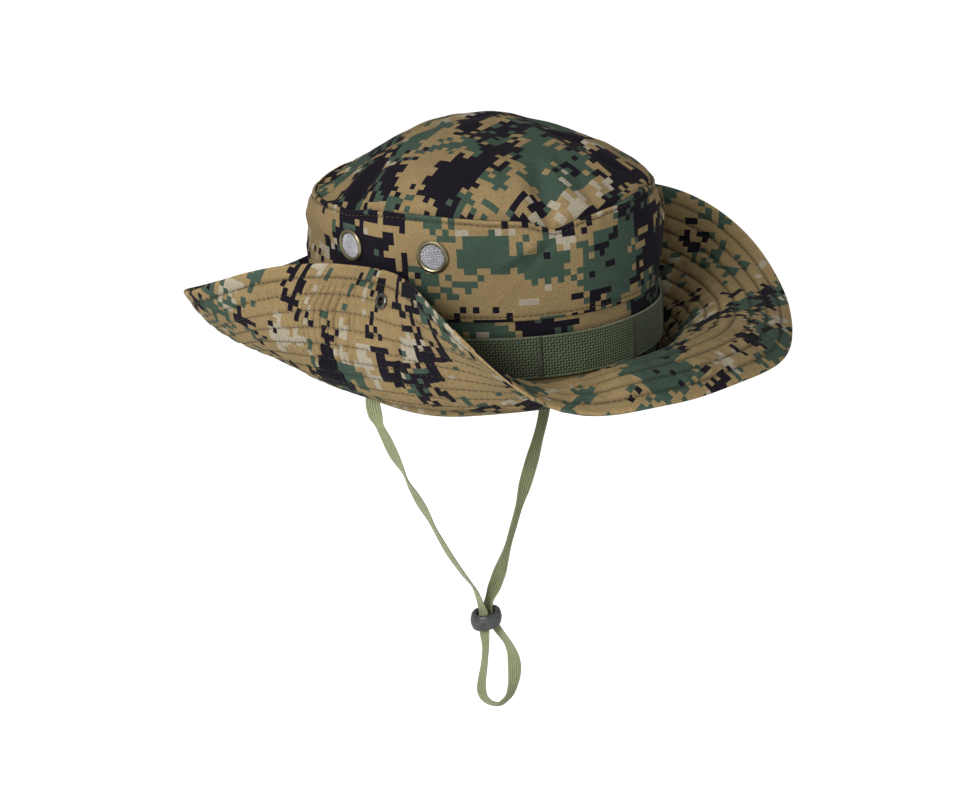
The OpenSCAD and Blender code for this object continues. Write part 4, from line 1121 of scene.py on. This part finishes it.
def build_straps():
    out = {}
    for s, side in ((-1, "right"), (1, "left")):
        # sewn end and first centimetres: turn at the hat's edge
        zt = np.linspace(10, PIVOT_Z, 30)[:-1]
        up = np.stack([np.full(29, s * STRAP_X), STRAP_Y + (2.3 * (1 - smooth(zt, -6, 8)) if s < 0 else 0 * zt), zt], -1)
        tt = np.linspace(0, TOP_T * 1.02, 22)
        path = np.concatenate([up, arm(tt, s)])
        tw = np.concatenate([arm_twist(0.0, s) * (1 - smooth(zt, -6.5, 7)), arm_twist(tt, s)])
        out["root_" + side] = strap_obj("chin_strap_end_" + side, ribbon(path, tw))
        t2 = np.linspace(TOP_T * 0.985, 1.045, 190)
        p2 = arm(np.minimum(t2, 1.0), s)
        ext = np.maximum(t2 - 1.0, 0) * ARM_L
        p2[:, 2] -= ext
        out["arm_" + side] = strap_obj("chin_strap_arm_" + side, ribbon(p2, arm_twist(np.minimum(t2, 1.0), s), wscale=arm_narrow(t2)))
    # the loop under the bead, lying across the view from the front right
    ca, sa_ = math.cos(math.radians(-54.75)), math.sin(math.radians(-54.75))
    lat = np.array([0, -0.2, -0.3, -0.3, -0.4, -2.0, -4.3, -5.3, -4.6, -1.2, 5.0, 11.3, 14.0, 14.6, 14.0, 11.0, 7.0, 3.6, 1.0, 0])
    dep = np.array([0, 3, 8, 13, 18, 28.4, 38.5, 45.5, 50.4, 54.4, 56.2, 50.2, 41.0, 33, 24.5, 16.7, 11.0, 5.4, 1.6, 0])
    q = np.concatenate([[0], np.cumsum(np.hypot(np.diff(lat), np.diff(dep)))]); q /= q[-1]
    u = np.linspace(0, 1, 190)
    lat, dep = np.interp(u, q, lat), np.interp(u, q, dep)
    k = np.hanning(17)[1:-1]; k /= k.sum(); m = len(k) // 2
    lat = np.convolve(np.concatenate([-lat[m:0:-1] * 0 + lat[0], lat, lat[-2:-m - 2:-1] * 0 + lat[-1]]), k, "valid")
    dep = np.convolve(np.concatenate([-dep[m:0:-1], dep, -dep[-2:-m - 2:-1]]), k, "valid")
    w = np.where(u < 0.5, -2.3, 2.3) * np.clip(np.cos(PI * np.minimum(u, 1 - u) / 0.5 * 0.5), 0, 1) ** 3
    path = np.stack([w + lat * ca, BEAD_Y + lat * sa_, BEAD_Z - 0.5 - dep], -1)
    T = np.gradient(path, axis=0); T /= np.linalg.norm(T, axis=1, keepdims=True)
    bn = np.array([-sa_, ca, 0.0])
    F = np.cross(T, np.broadcast_to(bn, T.shape)); F /= np.linalg.norm(F, axis=1, keepdims=True)
    tw = curve(u, [0, 0.06, 0.14, 0.28, 0.40, 0.47, 0.56, 0.66, 0.75, 0.83, 0.92, 1], [-0.955, -0.85, -0.5, -0.5, -0.85, -0.75, -0.75, -1.2, -1.9, -2.35, -2.3, -2.186])
    V = ribbon(path, tw, face=F, wscale=1 - 0.15 * np.clip(1 - np.minimum(u, 1 - u) / 0.05, 0, 1))
    out["loop"] = strap_obj("chin_strap_loop", V)
    return out


def build_bead():
    """Rounded cord bead: a fat ring with a soft waist and a moulding line."""
    nu, nv = 96, 56
    a = np.arange(nu) * 2 * PI / nu
    b = np.arange(nv) * 2 * PI / nv
    AA, BB = np.meshgrid(a, b, indexing="ij")
    c = np.cos(BB); s = np.sin(BB)
    sup = (np.abs(c) ** 2.2 + np.abs(s) ** 2.2) ** (-1 / 2.2)
    rc, zr = 6.9, BEAD_H / 2
    rr = rc + 2.15 * sup * c
    z = zr * sup * s
    rr = rr + 0.10 * np.exp(-(z / 0.25) ** 2) * (c > 0)          # moulding line
    rr = rr - 0.22 * np.exp(-((np.abs(z) - 2.6) / 0.5) ** 2) * (c > 0.2)   # two shallow grip grooves
    ov = 1 + 0.035 * np.cos(2 * AA)
    X, Y = rr * ov * np.cos(AA), rr / ov * np.sin(AA)
    # it hangs a little crooked
    lat_ = X * math.cos(math.radians(-54.75)) + Y * math.sin(math.radians(-54.75))
    P = np.stack([X, BEAD_Y + Y, BEAD_Z + z + lat_ * 0.14], -1)
    return grid_obj("cord_bead", P, None, True, True, None, MAT_BEAD)


# ------------------------------------------------------------------ assemble
def rides(o, body, slot, *nodes):
    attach(o, body)
    if nodes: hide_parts(*nodes)


brim = build_brim()
E_T = BW - 15.2
for side, ang in (("left", math.radians(85.2)), ("right", math.radians(274.8))):
    P, D = brim_frame(np.array(ang), np.array(E_T))
    ds = brim_frame(np.array(ang), np.array(E_T + 0.5))[0] - brim_frame(np.array(ang), np.array(E_T - 0.5))[0]
    dp = brim_frame(np.array(ang + 0.01), np.array(E_T))[0] - brim_frame(np.array(ang - 0.01), np.array(E_T))[0]
    D = np.cross(dp, ds); D /= np.linalg.norm(D)
    cut(brim[side], [add_cutter("ce", P + (D if D @ np.array([P[0], P[1], 0]) > 0 else -D) * 1.5, D, 2.95, 16)])
    brim[side].data.set_sharp_from_angle(angle=math.radians(58))
bags = brim_stitching()
for side, sg in (("left", 1), ("right", -1)):
    st = bags[side].obj("brim_%s_thread" % side, MAT_QUILT)
    for o in (brim[side], st):
        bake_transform(o)
    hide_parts(*["brim_%s_%s" % (side, n) for n in ("top_ply", "interlining", "under_ply")])
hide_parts("brim_top_ply", "brim_interlining", "brim_under_ply")

wall, wall_thread = build_wall()
rides(wall, "crown", "camo_cloth", "crown_wall")
rides(wall_thread, "crown", "olive_thread")
rides(build_band(), "crown", "camo_cloth", "crown_lower_band")
top, nr, nu = build_top()
print("cloth moved", simulate_top(top, nr, nu))
finish_top(top)
rides(top, "crown", "camo_cloth", "crown_top")
rides(build_webbing(), "crown", "olive_webbing", "webbing_band")
rides(build_tacks(), "crown", "olive_thread", "webbing_bartacks")
rides(build_screens(), "crown", "vent_mesh", "vent_screens")
sw, swt = build_sweatband()
rides(sw, "crown", "sweatband_cloth", "sweatband"); rides(swt, "crown", "olive_thread")
for o, n in zip(build_tapes(), ("top_seam_tape", "low_seam_tape")):
    rides(o, "crown", "seam_tape", n)
rides(build_label(), "crown", "label_cloth", "size_label")

st = build_straps()
for side in ("right", "left"):
    o = st["root_" + side]
    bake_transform(o)
    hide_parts("strap_end_" + side)
for side in ("right", "left"):
    o = st["arm_" + side]
    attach(o, "chin_cord")
    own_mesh(o)
lp = st["loop"]
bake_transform(lp)
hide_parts("chin_strap")
rides(build_bead(), "slider", "bead_plastic", "cord_slider")

for n, m in (("vent_rings", MAT_BRASS), ("vent_washers", MAT_BRASS), ("brim_right_eyelet", MAT_EYE), ("brim_left_eyelet", MAT_EYE),
             ("brim_right_eyelet_washer", MAT_EYE), ("brim_left_eyelet_washer", MAT_EYE), ("strap_tacks", MAT_TACK)):
    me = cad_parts[n].data
    if not me.materials: me.materials.append(m)
    for i in range(len(me.materials)): me.materials[i] = m
    me.polygons.foreach_set("use_smooth", np.ones(len(me.polygons), bool))
    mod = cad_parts[n].modifiers.new("edges", "EDGE_SPLIT"); mod.split_angle = math.radians(38)

# ------------------------------------------------------------------ camera, light, floor
az, el, roll, DIST, FPX = math.radians(-54.75), math.radians(18.9), math.radians(-3.35), 1.297, 2352.0
back = np.array([math.sin(az) * math.cos(el), -math.cos(az) * math.cos(el), math.sin(el)])
right = np.array([math.cos(az), math.sin(az), 0.0]); up = np.cross(back, right)
Rv = math.cos(roll) * right + math.sin(roll) * up
Uv = -math.sin(roll) * right + math.cos(roll) * up
# the origin projects to (488, 354.3); turn the camera so that it does, keeping its place
loc = back * DIST
du, dv = (490 - 488.0) / FPX, (403 - 354.3) / FPX
fwd = -back + Rv * du - Uv * dv; fwd /= np.linalg.norm(fwd)
r2 = Rv - fwd * (Rv @ fwd); r2 /= np.linalg.norm(r2)
u2 = np.cross(r2, fwd)
cam = bpy.data.cameras.new("cam"); co = bpy.data.objects.new("cam", cam)
bpy.context.scene.collection.objects.link(co)
cam.sensor_width = 36.0; cam.lens = FPX / 980 * 36.0
cam.clip_start, cam.clip_end = 0.01, 50
co.matrix_world = Matrix(((r2[0], u2[0], -fwd[0], loc[0]), (r2[1], u2[1], -fwd[1], loc[1]), (r2[2], u2[2], -fwd[2], loc[2]), (0, 0, 0, 1)))
bpy.context.scene.camera = co


def stage_material(name, c):
    """Pale studio floor; it looks evenly white to the camera and lights the object softly from below."""
    M = Mat(name)
    n = M.noise(M.obj(), 6, 2, 0.5)
    seen = M.node("ShaderNodeLightPath").outputs["Is Camera Ray"]
    return M.set(Base_Color=M.mix(M.range(n, 0.3, 0.7, 0, 0.15), c, (c[0] * 0.97, c[1] * 0.97, c[2] * 0.97, 1)), Roughness=0.95, Specular_IOR_Level=0.1,
                 Emission_Color=(1, 1, 1, 1), Emission_Strength=M.math("MULTIPLY_ADD", seen, 0.60, 0.12))


fl = mesh_obj("floor", np.array([[-9000, -9000, -232], [9000, -9000, -232], [9000, 9000, -232], [-9000, 9000, -232]], float), [[0, 1, 2, 3]], None, None, stage_material("floor_pale", (0.90, 0.90, 0.90, 1)))

world = bpy.data.worlds.new("world"); bpy.context.scene.world = world
world.use_nodes = True
nt = world.node_tree
bg = nt.nodes["Background"]; bg.inputs[0].default_value = (1, 1, 1, 1); bg.inputs[1].default_value = 0.31
bg2 = nt.nodes.new("ShaderNodeBackground"); bg2.inputs[0].default_value = (1, 1, 1, 1); bg2.inputs[1].default_value = 1.0
lp_ = nt.nodes.new("ShaderNodeLightPath"); ms = nt.nodes.new("ShaderNodeMixShader")
out_ = next(n for n in nt.nodes if n.type == "OUTPUT_WORLD")
nt.links.new(lp_.outputs["Is Camera Ray"], ms.inputs[0]); nt.links.new(bg.outputs[0], ms.inputs[1]); nt.links.new(bg2.outputs[0], ms.inputs[2])
nt.links.new(ms.outputs[0], out_.inputs[0])


def area(name, pos, target, size, power, colour=(1, 1, 1)):
    l = bpy.data.lights.new(name, "AREA"); l.shape = "RECTANGLE"; l.size, l.size_y = size; l.energy = power; l.color = colour
    o = bpy.data.objects.new(name, l); bpy.context.scene.collection.objects.link(o)
    o.location = pos
    o.rotation_euler = (Vector(target) - Vector(pos)).to_track_quat("-Z", "Y").to_euler()
    return o


Bk, Rt = Vector(back), Vector(right)
key = Bk * 1.4 - Rt * 0.82 + Vector((0, 0, 0.42))
area("key", key, (0, 0, 0.03), (0.62, 0.62), 22.5, (1.0, 0.99, 0.97))
area("top", (0.1, 0.3, 1.9), (0, 0, 0.05), (1.2, 1.2), 0.7, (1.0, 1.0, 1.0))
fill = Bk * 1.0 + Rt * 1.5 + Vector((0, 0, 0.5))
area("fill", fill, (0, 0, 0.0), (1.2, 1.2), 3.6, (0.98, 0.99, 1.0))
bpy.context.scene.view_settings.view_transform = "Standard"
bpy.context.scene.view_settings.look = "None"
